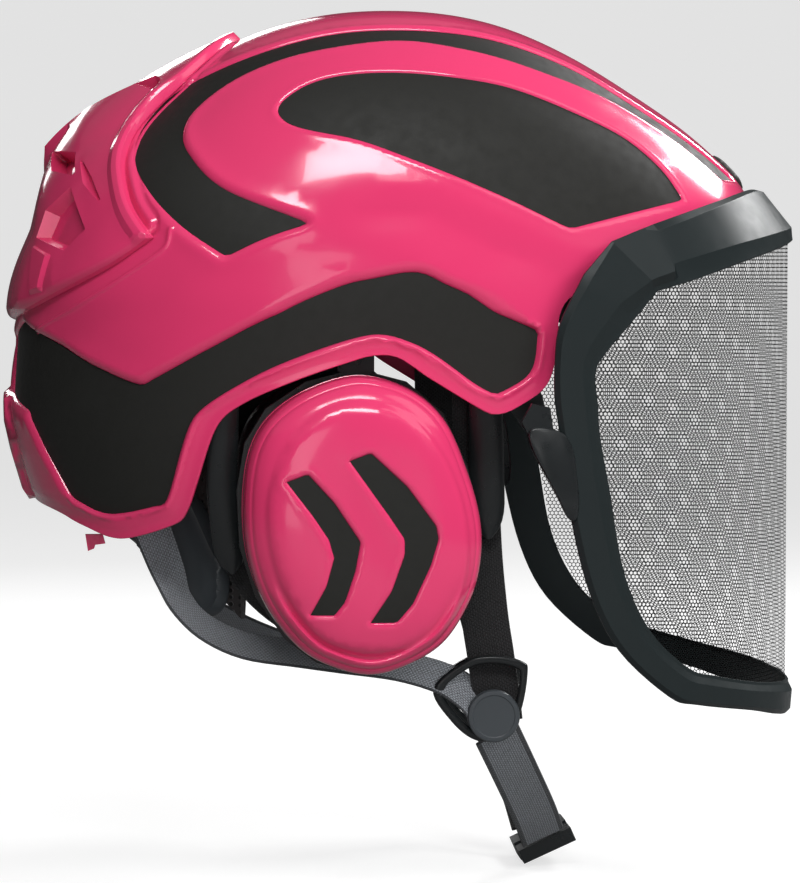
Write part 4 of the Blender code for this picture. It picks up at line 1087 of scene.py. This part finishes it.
def cover_height(flat, coarse):
    """Height of the cover's outside: its facets, a rolled band along the front edge, rounded borders."""
    places, heights, faces = coarse
    a, b, c = (places[faces[:, k]] for k in range(3))
    area = (b[:, 0] - a[:, 0]) * (c[:, 1] - a[:, 1]) - (b[:, 1] - a[:, 1]) * (c[:, 0] - a[:, 0])
    x, y = flat[:, None, 0] - a[:, 0], flat[:, None, 1] - a[:, 1]
    share_b = (x * (c[:, 1] - a[:, 1]) - y * (c[:, 0] - a[:, 0])) / area
    share_c = ((b[:, 0] - a[:, 0]) * y - (b[:, 1] - a[:, 1]) * x) / area
    shares = np.stack([1 - share_b - share_c, share_b, share_c], axis=2)
    best = shares.min(2).argmax(1)
    height = (shares[np.arange(len(flat)), best] * heights[faces[best]]).sum(1)
    edge = distance_to(flat, COVER_LOOP[:COVER_CORNER], False)
    hem = distance_to(flat, COVER_LOOP[COVER_CORNER - 1:COVER_EDGE], False)
    height += 1.1 * (1 - step(edge, 3.8, 6.2))
    return 0.9 + np.maximum(height - 0.9, 0.2) * (quarter_round(edge, 2.0) * quarter_round(hem, 4.5))


def shell_plate(name, flat, faces, lift, foot, pairs, kind, replaces, sharp):
    """A closed plate on both halves of the shell between two heights, walled along pairs of points."""
    up, middle, base = frame_at(flat)[2], on_middle(flat), base_point(flat)
    top, top_faces, guide, far = both_halves(base + up * lift[:, None], faces, middle, up)
    foot = both_halves(base + up * foot, faces, middle, up)[0]
    edges = [(b, a) for a, b in pairs] + [(far[a], far[b]) for a, b in pairs]
    return piece(name, *slab(top, foot, outward(top, top_faces, guide), edges), kind, "helmet", replaces,
                 sharp=sharp)


def make_cover():
    """The faceted vent cover on the back of the shell."""
    edge = COVER_LOOP[:COVER_EDGE]
    inward = into_loop(edge, COVER_LOOP)
    seeds = []
    for offset in (0.4, 0.9, 1.5, 2.3, 3.7, 4.9, 6.3):
        row = edge + inward * offset
        seeds.append((row[np.abs(distance_to(row, edge, False) - offset) < 0.1], 0.3))
    seeds.append((staggered_grid(COVER_LOOP, 3.4, 3.0), 1.9))
    flat, faces = facet_mesh(COVER_LOOP, COVER_FOLDS, seeds, 2.4)
    pairs = [(a, a + 1) for a in range(COVER_EDGE - 1)]
    obj = shell_plate("vent_hood", flat, faces, cover_height(flat, cover_levels()), 0.3, pairs, "pink",
                      ("rear_vent_cover",), 19.0)
    bevel(obj, 0.45, 2, 19.0)


def make_brow_tab():
    """Raised black tab where the two stripes meet over the brow."""
    outer = [on_arc(a) for a in np.linspace(math.radians(18.2), math.radians(25.5), 14)]
    inner = [(172, 63), (171, 66), (168.5, 74), (170, 79.5)]
    loop = np.vstack([outer, smooth_line([outer[-1], *inner[::-1], outer[0]], 5, 1.8)[1:-1]])
    flat, faces = fill_region(loop, [], (), 1.4, 1.4)
    line = [len(outer) - 1, *range(len(outer), len(loop)), 0]
    lift = 2.6 * quarter_round(distance_to(flat, loop[line], False), 3.0) + 0.3
    shell_plate("brow_tab", flat, faces, lift, -0.6, list(zip(line, line[1:])), "inlay", (), 50.0)


# ---------------------------------------------------------------- visor

def visor_y(x):
    part = np.clip((np.asarray(x, float) - VISOR_REAR_X) / VISOR_DEPTH, 0, 1)
    return VISOR_HALF_WIDTH * (1 - part ** VISOR_POWER) ** (1 / VISOR_POWER)


def visor_rows():
    """Outer and inner edge of half the frame, from the middle of the brow to the middle of the foot."""
    outer, inner = ([(x, float(visor_y(x)), z) for x, z in edge] for edge in (VISOR_OUTER, VISOR_INNER))
    outer = [*BROW_OUTER, *outer]
    cuts = (0, 6, 7, len(outer) - 1)
    rows = []
    for line in (outer, inner):
        line = [(x, 0.0 if i in (0, len(line) - 1) else y, z) for i, (x, y, z) in enumerate(line)]
        runs = [curve_through(line[a:b + 1], 5 if b - a > 1 else 1) for a, b in zip(cuts, cuts[1:])]
        rows.append(np.vstack([run[:-1] for run in runs[:-1]] + [runs[-1]]))
    return rows


# Sections of the frame: share of the way from the outer to the inner edge, and height over that line.
CHEEK_SECTION = (
    (0.0, -1.3), (0.0, 0.3), (0.12, 1.9), (0.68, 1.9), (0.90, 0.1), (1.0, -0.1), (1.0, -1.4), (0.86, -1.7),
)
CORNER_SECTION = (
    (0.0, -1.3), (0.0, -1.0), (0.04, -0.6), (0.80, 3.9), (0.92, 0.6), (1.0, -0.1), (1.0, -1.4), (0.86, -1.7),
)
BROW_SECTION = (
    (0.0, -1.3), (0.0, 0.6), (0.07, 2.3), (0.84, 2.7), (0.93, 1.1), (1.0, 0.0), (1.0, -1.4), (0.86, -1.7),
)


def make_visor_frame():
    """The frame: flat outer face, bevel and thin inner flange, with crisp facets at its upper corners."""
    outer, inner = (np.vstack([row * [1, -1, 1], row[::-1][1:-1]]) for row in visor_rows())
    across = inner - outer
    run = np.roll(outer + inner, -1, axis=0) - np.roll(outer + inner, 1, axis=0)
    normal = unit(np.cross(run, across))
    away = (outer + inner) / 2 - [VISOR_REAR_X - 40, 0, -120]
    away[:, 2] *= 0.3
    normal *= np.sign((normal * away).sum(1, keepdims=True))
    x, z = outer[:, 0], outer[:, 2]
    share = (step(x, 100, 165) * step(z, -80, -50))[:, None, None]
    corner = (step(x, 79.5, 81.5) * (1 - step(x, 96.5, 98.5)) * step(z, -64, -60))[:, None, None]
    cheek, brow, peak = (np.array(rows)[None] for rows in (CHEEK_SECTION, BROW_SECTION, CORNER_SECTION))
    section = cheek * (1 - share) + brow * share
    section += (peak - section) * corner
    rings = outer[:, None] + across[:, None] * section[..., :1] + normal[:, None] * section[..., 1:]
    obj = piece("visor_rim", *skin(rings, closed=True), "visor", "visor", ("visor_frame",), sharp=20.0)
    bevel(obj, 0.4, 2, 14.0)


def edge_height(edge, x):
    """Height of an edge (x, z) at x."""
    rows = np.array(sorted(edge, key=lambda place: place[0]), float)
    return np.interp(x, rows[:, 0], rows[:, 1])


MESH_PITCH, MESH_WIRE, MESH_INSET = 1.8, 0.36, 2.2
# The mesh ends behind this place, and its edges lie this far under the frame's inner flange.
MESH_REAR_X, MESH_TOP_LAP, MESH_LOW_LAP = 73.0, 2.0, 2.5


def mesh_plan():
    """The mesh's curve in plan from the middle of the brow to the side, and the distance along it."""
    x = VISOR_REAR_X + VISOR_DEPTH * np.sin(np.linspace(0, math.pi / 2, 1500))
    line = columns(x, visor_y(x))[::-1]
    tangent = unit(np.gradient(line, axis=0))
    normal = columns(-tangent[:, 1], tangent[:, 0])
    normal *= np.where(normal[:, :1] * (line[:, :1] - VISOR_REAR_X) + normal[:, 1:] * line[:, 1:] > 0, 1, -1)
    line = line - normal * MESH_INSET
    line[0, 1] = 0.0
    return line, run_along(line)


def mesh_knots(limit):
    """Flat places of the hexagons' corners, and each one's row, column and kind."""
    side = MESH_PITCH / math.sqrt(3)
    columns = int(limit / MESH_PITCH) + 1
    nodes, owner = [], {}
    for r in range(-185, -15):
        for c in range(-columns, columns + 1):
            s = MESH_PITCH * (c + 0.5 * (r % 2))
            z = 1.5 * side * r
            for kind, lift in ((0, side), (1, 0.0)):
                owner[r, c, kind] = len(nodes)
                nodes.append((s, z + lift))
    return np.array(nodes), owner


def make_visor_mesh():
    """A bent sheet of steel pierced by hexagons: three-cornered knots joined by flat struts."""
    line, run = mesh_plan()

    def bent(s, z):
        x = np.interp(np.abs(s), run, line[:, 0])
        y = np.interp(np.abs(s), run, line[:, 1]) * np.sign(s)
        return columns(x, y, z)

    limit = run[np.searchsorted(-line[:, 0], -MESH_REAR_X)]
    nodes, owner = mesh_knots(limit)
    x = bent(nodes[:, 0], nodes[:, 1])[:, 0]
    top = edge_height(VISOR_INNER[:INNER_REAR + 1], x) + MESH_TOP_LAP
    low = edge_height(VISOR_INNER[INNER_REAR:], x) - MESH_LOW_LAP
    good = (np.abs(nodes[:, 0]) < limit) & (nodes[:, 1] < top) & (nodes[:, 1] > low)
    first = np.where(np.arange(len(nodes)) % 2 == 0, math.pi / 2, 3 * math.pi / 2)
    turn = first[:, None] + full_turn(3)
    reach = MESH_WIRE / math.sqrt(3)
    corners = (nodes[:, None] + reach * np.stack([np.cos(turn), np.sin(turn)], axis=-1)).reshape(-1, 2)
    verts = bent(corners[:, 0], corners[:, 1])
    faces = [(3 * i, 3 * i + 1, 3 * i + 2) for i in range(len(nodes)) if good[i]]

    def facing(i, direction):
        """The two corners of a knot that lie beside a strut's direction."""
        offset = corners[3 * i:3 * i + 3] - nodes[i]
        left = np.array([-direction[1], direction[0]])
        pair = sorted(np.argsort(-(offset @ direction))[:2], key=lambda k: offset[k] @ left)
        return [3 * i + int(k) for k in pair]

    for (r, c, kind), i in owner.items():
        if kind or not good[i]:
            continue
        left = c - 1 + r % 2
        for place in ((r, c, 1), (r + 1, left, 1), (r + 1, left + 1, 1)):
            other = owner.get(place)
            if other is None or not good[other]:
                continue
            direction = unit(nodes[other] - nodes[i])
            faces.append((*facing(i, direction), *facing(other, -direction)))
    used = np.unique(np.concatenate([np.array(f) for f in faces]))
    index = np.full(len(verts), -1)
    index[used] = np.arange(len(used))
    faces = [tuple(index[list(f)]) for f in faces]
    normals = unit(verts[used] - [VISOR_REAR_X, 0, 0])
    normals[:, 2] = 0
    piece("visor_net", verts[used], faces, "steel", "visor", ("visor_mesh",), unit(normals))


# ---------------------------------------------------------------- ear defenders

CUP_LOOP = respaced(np.vstack([curve_through(CUP_OUTLINE, 8, True), CUP_OUTLINE[:1]]), 2.2)[:-1]
PLATEAU_LOOP = curve_through(CUP_PLATEAU, 4, True)


def corner_outline(points, spacing):
    """A closed outline whose sharp corners stay sharp and whose long sides are evenly divided."""
    return respaced(np.array([*points, points[0]], float), spacing)[:-1]


CHEVRONS = {
    "chevron_front": corner_outline(CHEVRON_FRONT, 1.5),
    "chevron_rear": corner_outline(CHEVRON_REAR, 1.5),
}


def cup_height(flat):
    """Distance of the cup's outside from the middle plane."""
    centre = np.array(CUP_CENTRE, float)
    away = flat - centre
    angle = np.arctan2(away[:, 1], away[:, 0])
    ring = CUP_LOOP - centre
    ring_angle = np.arctan2(ring[:, 1], ring[:, 0])
    order = np.argsort(ring_angle)
    reach = np.interp(angle, ring_angle[order], np.hypot(ring[:, 0], ring[:, 1])[order], period=2 * math.pi)
    part = np.clip(np.hypot(away[:, 0], away[:, 1]) / reach, 0, 1)
    height = 109.0 + 19.4 * (1 - part ** 4.0) ** (1 / 3.0)
    height += 1.5 * (1 - step(signed_distance(flat, PLATEAU_LOOP, 6.0), -1.6, 1.4))
    edge = distance_to(flat, CUP_LOOP, True)
    height -= 0.7 * bell(edge - 3.0, 0.45)
    under = step(-away[:, 1] / np.hypot(away[:, 0], away[:, 1] + 1e-6).clip(1e-6), 0.45, 0.8)
    height += under * (1.5 * (1 - step(edge, 6.0, 7.4)) * step(edge, 3.2, 4.6) - 0.8 * bell(edge - 8.2, 1.3))
    for loop in CHEVRONS.values():
        height += roll_up(signed_distance(flat, loop, 5.0), 1.0, 1.7, 0.2)
    return height


CUP_SLOPE_REACH = 0.1
# Rows of points inside the outline, closest where the lips are.
CUP_ROWS = (0.6, 1.3, 2.1, 2.6, 3.0, 3.4, 3.9, 4.6, 5.3, 6.0, 6.4, 6.8, 7.4, 8.2, 9.0, 10.0)
# Below the crown: how far each ring stands outside the outline, and its distance from the middle plane.
CUP_SIDE = (
    (0.0, 107.5), (-0.1, 104.2), (-0.9, 103.8), (-0.9, 102.6), (0.0, 102.2), (0.0, 95.2), (-0.4, 94.4),
    (-3.0, 94.4), (-3.0, 106.0),
)


def make_cup(tag, side, word):
    """The crowned cup with its lips and recesses, and the two chevrons."""
    inward = into_loop(CUP_LOOP, CUP_LOOP, True)
    rows = np.vstack([CUP_LOOP + inward * inset for inset in CUP_ROWS])
    flat, faces = fill_region(CUP_LOOP, list(CHEVRONS.values()), (0.25, 0.7, 1.3, 2.0), 1.5, 2.2, extra=rows)
    slopes = [(cup_height(flat + reach) - cup_height(flat - reach)) / (2 * CUP_SLOPE_REACH)
              for reach in ([CUP_SLOPE_REACH, 0.0], [0.0, CUP_SLOPE_REACH])]
    normals = unit(columns(-slopes[0], 1.0, -slopes[1]))
    verts = columns(flat[:, 0], cup_height(flat), flat[:, 1])
    faces = outward(verts, faces, normals)
    count = len(CUP_LOOP)
    rings = []
    for shift, level in CUP_SIDE:
        place = CUP_LOOP - inward * shift
        rings.append(columns(place[:, 0], level, place[:, 1]))
    numbers = [np.arange(count)] + [len(verts) + k * count + np.arange(count) for k in range(len(rings))]
    piece(f"cup_shell_{tag}", np.vstack([verts, *rings]) * [1, side, 1],
          [tuple(f) for f in faces] + strips(numbers), "pink", f"{word}_cup", (f"ear_cup_{tag}",), sharp=48.0)
    for name, loop in CHEVRONS.items():
        used, chosen = faces_within(flat, faces, loop)
        plate, body = slab(verts[used] + [0, 0.22, 0], verts[used] - [0, 0.5, 0], chosen, open_edges(chosen))
        piece(f"{name}_{tag}_plate", plate * [1, side, 1], body, "inlay", f"{word}_cup", (f"{name}_{tag}",),
              sharp=40.0)


def cup_ring(scale, y, side):
    cx, cz = CUP_CENTRE
    return columns(cx + (CUP_LOOP[:, 0] - cx) * scale, side * y, cz + (CUP_LOOP[:, 1] - cz) * scale)


# Distances of the seal from the middle plane, and its inner and outer size as a share of the cup's.
SEAL_RANGE, SEAL_SCALES, SEAM_PULL = (76.2, 89.6), (0.62, 0.90), 0.988


def make_ear_seal(tag, side, word):
    """Leather cushion: a stuffed ring with a flat back and a stitched seam round its side."""
    (low, high), (narrow, wide) = SEAL_RANGE, SEAL_SCALES
    rings = []
    for k, turn in enumerate(full_turn(28)):
        pull = SEAM_PULL if k == 0 else 1.0
        scale = (wide + narrow) / 2 + (wide - narrow) / 2 * squared(math.cos(turn), 0.8) * pull
        y = (low + high) / 2 + (high - low) / 2 * squared(math.sin(turn), 0.75)
        rings.append(cup_ring(scale, y, side))
    verts, faces = skin(rings, closed=True)
    obj = piece(f"ear_seal_{tag}", verts, faces, "leather", f"{word}_cup", (f"ear_cushion_{tag}",))


# ---------------------------------------------------------------- head harness

def arc_piece(name, semi, angles, levels, thickness, kind, replaces, closed=False, crown=0.0):
    """A band standing on an arc of an ellipse between two levels, thickened outwards, with rounded edges."""
    top, foot = (np.broadcast_to(level, angles.shape) for level in levels)
    out = unit(columns(np.cos(angles) / semi[0], np.sin(angles) / semi[1], 0.0))
    section = [(t, 1, 1.0 if 0.06 < t < 0.94 else 0.72) for t in np.linspace(0, 1, 11)]
    section += [(t, -1, full) for t, _, full in reversed(section)]
    rings = []
    for i, angle in enumerate(angles):
        foothold = np.array([CENTRE_X + semi[0] * np.cos(angle), semi[1] * np.sin(angle), 0.0])
        rings.append([foothold + [0, 0, top[i] + (foot[i] - top[i]) * t]
                      + out[i] * (thickness * (0.5 + way * full / 2) + way * crown * math.sin(math.pi * t))
                      for t, way, full in section])
    verts, faces = skin(rings, closed=closed)
    obj = piece(name, verts, faces, kind, "helmet", replaces, sharp=55.0)
    return obj


def nape_levels(part):
    lobe = np.abs(2 * part - 1) ** 2
    return -137 - 26 * lobe, -166 - 40 * lobe


CROWN_ARCHES = (
    ("side", 1, ((81.9, -84), (81.6, -62), (78, -36), (64, -13), (34, 3.4), (16, 4.4), (0, 4.4))),
    ("long", 0, ((102.0, -84), (101.6, -62), (96, -34), (78, -12), (44, 5), (18, 6.6), (0, 6.6))),
)
# Rings of the crown pad: radius and height.
CROWN_PAD = (
    (0.5, 0.3), (20, 0.25), (26.5, 0.3), (27.8, 0.8), (28, 1.5), (27.8, 2.2), (26.5, 2.8), (20, 3.1),
    (0.5, 3.15),
)
# The nape cushion spans this angle on both sides of the middle.
NAPE_REACH = math.radians(52)


def make_harness():
    """Headband, brow, nape and crown pads, and the two crown straps."""
    arc_piece("head_band_strip", (99.0, 79.0), full_turn(96), (-66.0, -88.0), 1.6, "black", ("head_band",),
              closed=True)
    pad = arc_piece("brow_cushion", (94.3, 74.3), np.linspace(-0.9, 0.9, 41), (-64.5, -89.5), 3.6, "padding",
                    ("brow_pad",), crown=0.3)
    part = np.linspace(0, 1, 41)
    top, foot = nape_levels(part)
    angles = math.pi - NAPE_REACH + 2 * NAPE_REACH * part
    pad = arc_piece("nape_cushion", (101.8, 67.8), angles, (top + 9.5, foot - 2.5), 5.2, "padding",
                    ("nape_pad",), crown=0.25)
    rings = [[(radius * math.cos(a), radius * math.sin(a), z) for a in full_turn(48)]
             for radius, z in CROWN_PAD]
    pad = piece("crown_cushion", *skin(rings), "padding", "helmet", ("crown_pad",), sharp=60.0)
    for name, axis, arch in CROWN_ARCHES:
        run = curve_through(arch, 5)
        run = np.vstack([run, run[::-1][1:] * [-1, 1]])
        route = np.zeros((len(run), 3))
        route[:, axis] = run[:, 0]
        route[:, 0] += CENTRE_X
        route[:, 2] = run[:, 1]
        across = (1, 0, 0) if axis else (0, 1, 0)
        strap(f"crown_web_{name}", route, 20, 1.2, "web_black", lambda t, a=across: a,
              (f"crown_strap_{name}",))


CRADLE_HALF = ((0, -137), (30, -140), (55, -148), (72, -160), (82, -176), (87, -190), (86, -202), (79, -208),
               (70, -206), (60, -199), (45, -190), (25, -181), (0, -177))


# Half axes of the oval that the cradle stands on.
CRADLE_OVAL = (108, 74)


def make_cradle():
    """Nape cradle: two lobes with a thick rounded rim round a sunk panel."""
    half = curve_through(CRADLE_HALF, 6)
    loop = respaced(np.vstack([half, half[::-1][1:] * [-1, 1]]), 1.8)[:-1]
    flat, faces = fill_region(loop, [], (), 1.6, 2.6)
    edge = distance_to(flat, loop, True)
    out = 3.0 + 1.3 * bell(edge - 2.2, 1.6) + 0.9 * step(edge, 6.5, 8.5)
    out = out * (0.55 + 0.45 * quarter_round(edge, 1.4))

    def bent(height):
        turn = flat[:, 0] / 100
        x = CENTRE_X - (CRADLE_OVAL[0] + height) * np.cos(turn)
        return columns(x, (CRADLE_OVAL[1] + height) * np.sin(turn), flat[:, 1])

    edges = [(b, a) for a, b in loop_edges(len(loop))]
    piece("nape_shell", *slab(bent(out), bent(np.zeros(len(flat))), faces, edges), "grey", "helmet",
          ("nape_cradle",), sharp=50.0)


# Rings of the wheel: x, radius and depth of the knurling.
KNOB_RINGS = (
    (-119.9, 11.6, 0.0), (-120.4, 12.4, 0.3), (-121.4, 12.8, 0.55), (-128.0, 12.8, 0.55), (-129.0, 12.3, 0.3),
    (-129.7, 11.2, 0.0), (-129.7, 9.0, 0.0), (-129.0, 8.4, 0.0), (-128.9, 2.0, 0.0),
)
KNOB_TEETH, KNOB_Z = 30, -152


def make_knob():
    """Knurled thumb wheel on the back of the cradle."""
    angles = full_turn(4 * KNOB_TEETH)
    rings = []
    for x, radius, relief in KNOB_RINGS:
        wave = radius + relief * (np.cos(angles * KNOB_TEETH) * 0.5 - 0.5)
        rings.append(columns(x, wave * np.cos(angles), KNOB_Z + wave * np.sin(angles)))
    piece("thumb_wheel", *skin(rings), "black", "knob", ("ratchet_knob",), sharp=40.0)


# ---------------------------------------------------------------- straps

def hanging(points, side):
    """Places on the chin harness; its left half hangs a little further forward and lower."""
    points = np.asarray(points, float) * [1, side, 1]
    if side > 0:
        share = (step(HANG_START - points[:, 2], 0, HANG_SPAN)
                 * step(points[:, 0] - HANG_REAR, 0, HANG_REACH))[:, None]
        points += share * [HANG_DRIFT[0], 0, HANG_DRIFT[1]]
    return points


def route_of(points, side, steps=5):
    return hanging(curve_through(points, steps), side)


def fore_aft(_):
    return 1, 0, 0


def tongue(width):
    """A width that rounds off over the last part of a route."""
    return lambda t: width * math.sqrt(max(0.06, 1 - max(0.0, (t - 0.92) / 0.08) ** 2))


def nape_lean(side):
    """Width of the nape strap: upright out of the cradle, then on edge along the jaw."""
    def across(t):
        turn = float(step(t, 0.02, 0.40))
        lean = 0.85 - 0.45 * float(step(t, 0.6, 1.0))
        return (0.95 * (1 - turn) + 0.1 * turn, -side * (0.35 * (1 - turn) + lean * turn),
                0.2 * (1 - turn) + 0.6 * turn)
    return across


FRONT_GUIDE = (
    (35, 97.6, -63), (35, 96.4, -71), (34.5, 91, -80), (34, 89.5, -96), (34.5, 86, -120), (36, 79, -145),
    (37, 74.5, -175),
)
REAR_GUIDE = ((-69, 90, -92), (-69, 89, -110), (-69, 87, -130), (-69, 82.5, -155), (-65, 76.5, -188))
FRONT_WEB = (
    (31.5, 83.2, -112), (32, 76.2, -145), (33.5, 71.6, -178), (36, 71.5, -205), (38.5, 72, -222),
    (41, 72.2, -240), (42, 72.4, -249),
)
NAPE_WEB = (
    (-98, 57, -167), (-94, 60, -178), (-89.5, 62, -190), (-85, 62.5, -201), (-75.5, 63, -211),
    (-59.6, 63.5, -218.5), (-37.8, 64, -222), (-20, 65, -224.5), (2, 68.5, -227), (18, 72.5, -231),
    (28, 74, -237), (34, 74, -244),
)
REAR_WEB = ((-63.5, 72.5, -180), (-58, 71.2, -192), (-44, 70.8, -205), (-26, 71.0, -213))


def make_side_straps(tag, side):
    """The two moulded guides under the rim, and the three straps that meet at the ring."""
    for word, points, width, dome in (("front", FRONT_GUIDE, 14, 1.3), ("rear", REAR_GUIDE, 12.5, 1.2)):
        strap(f"{word}_tongue_{tag}", route_of(points, side, 9), tongue(width), 2.4, "black", fore_aft,
              (f"{word}_guide_{tag}",), corner=0.8, dome=dome)
    for word, points, width, kind, across in (
            ("front", FRONT_WEB, 19, "web_black", fore_aft),
            ("nape", NAPE_WEB, 16, "web_grey", nape_lean(side)),
            ("rear", REAR_WEB, 12, "web_black", lambda t: (0.8, 0, 0.6))):
        strap(f"{word}_web_{tag}", route_of(points, side), width, 1.4, kind, across, (f"{word}_strap_{tag}",))


RING_OUTLINE = ((15, -235), (28, -224), (40, -222), (51, -224.5), (53, -229), (50, -245), (42, -255),
                (32, -256), (22, -248))


RING_CENTRE = (37.0, -238.0)
CAP_CENTRE = (39, -246)
# Rings of the cap: distance from the middle plane, and radius.
CAP_RINGS = (
    (74.6, 9.0), (76.4, 10.2), (76.6, 10.5), (79.6, 10.5), (80.2, 10.1), (80.4, 9.4), (80.4, 8.6),
    (80.1, 8.2), (80.1, 0.8),
)


def hanging_ring(flat, y, side):
    """A flat (x, z) ring stood at a distance from the middle plane on the chin harness."""
    return hanging(columns(flat[:, 0], y, flat[:, 1]), side)


def make_ring(tag, side):
    """Moulded ring that gathers the straps, with a round cap on its lower bar."""
    centre = np.array(RING_CENTRE)
    line = curve_through(RING_OUTLINE, 6, True)
    rings = [hanging_ring(centre + (line - centre) * (0.9 + 0.1 * squared(math.cos(turn), 0.7)),
                          76.0 + 1.9 * squared(math.sin(turn), 0.7), side) for turn in full_turn(16)]
    piece(f"gather_ring_{tag}", *skin(rings, closed=True), "black", "helmet", (f"strap_junction_{tag}",),
          sharp=60.0)
    angles = full_turn(48)
    round_line = columns(np.cos(angles), np.sin(angles))
    rings = [hanging_ring(np.array(CAP_CENTRE) + radius * round_line, y, side) for y, radius in CAP_RINGS]
    piece(f"gather_cap_{tag}", *skin(rings), "grey", "helmet", sharp=35.0)


CHIN_WEBS = (
    ("r", "web_grey", ((41, -73.5, -254.0), (50, -56, -271), (61, -32, -292), (67.5, -13.5, -306.0))),
    ("l", "web_black", ((57, 73.0, -271.5), (61, 57, -281), (65, 36, -294), (67.2, 18.6, -305.5))),
)


def make_chin():
    """The two straps from the rings to the buckle."""
    for tag, kind, points in CHIN_WEBS:
        strap(f"chin_web_{tag}", curve_through(points, 8), 19, 1.4, kind, lambda t: (1, 0, 0.45),
              (f"chin_strap_{tag}",))


VISOR_LINK = ((48.5, -131), (53, -129), (62, -131.5), (66.0, -138), (67.5, -148), (68.4, -158), (67.4, -165),
              (64.2, -164.5), (59.4, -155), (54.4, -146), (50.2, -138))


# Rings of the link: distance from the middle plane, and scale of the outline.
LINK_RINGS = ((108.2, 0.955), (107.9, 0.985), (108.3, 1.0), (112.4, 1.0), (113.1, 0.985), (113.5, 0.955))


def make_visor_link(tag, side):
    """Rounded end of the visor's arm, where it holds the frame."""
    line = curve_through(VISOR_LINK, 5, True)
    centre = line.mean(axis=0)
    rings = []
    for y, scale in LINK_RINGS:
        ring = centre + (line - centre) * scale
        rings.append(columns(ring[:, 0], side * y, ring[:, 1]))
    piece(f"visor_link_{tag}", *skin(rings), "black", "visor", sharp=50.0)


# ---------------------------------------------------------------- parts kept from the CAD model

KEPT = {
    "black": ("visor_arm_r", "visor_arm_l", "ear_plate_r", "ear_plate_l", "ear_bracket_r", "ear_bracket_l",
              "ear_carrier_r", "ear_carrier_l", "ear_arm_r", "ear_arm_l", "ratchet_case", "band_tail_r",
              "band_tail_l", "buckle_socket", "buckle_plug"),
    "grey": ("buckle_latch",),
    "pink": ("rear_pull_tab",),
    "pin": ("visor_pivot_r", "visor_pivot_l"),
}


def finish_kept():
    for kind, names in KEPT.items():
        for name in names:
            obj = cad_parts[name]
            for slot in obj.material_slots:
                slot.material = MATERIALS[kind]
            bevel(obj, 0.35, 2, 35.0)


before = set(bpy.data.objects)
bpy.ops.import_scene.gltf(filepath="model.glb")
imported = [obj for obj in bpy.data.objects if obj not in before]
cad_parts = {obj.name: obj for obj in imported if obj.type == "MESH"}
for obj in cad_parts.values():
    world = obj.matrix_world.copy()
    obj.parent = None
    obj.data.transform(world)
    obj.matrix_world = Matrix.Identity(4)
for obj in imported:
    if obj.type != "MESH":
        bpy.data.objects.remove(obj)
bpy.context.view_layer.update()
make_camera()
make_studio()
make_floor()
MATERIALS = make_materials()
make_shell()
make_visor_frame()
make_visor_mesh()
for tag, side, word in SIDES:
    make_cup(tag, side, word)
    make_ear_seal(tag, side, word)
    make_side_straps(tag, side)
    make_ring(tag, side)
    make_visor_link(tag, side)
make_cover()
make_brow_tab()
make_harness()
make_cradle()
make_knob()
make_chin()
finish_kept()
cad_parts["impact_liner"].material_slots[0].material = MATERIALS["foam"]
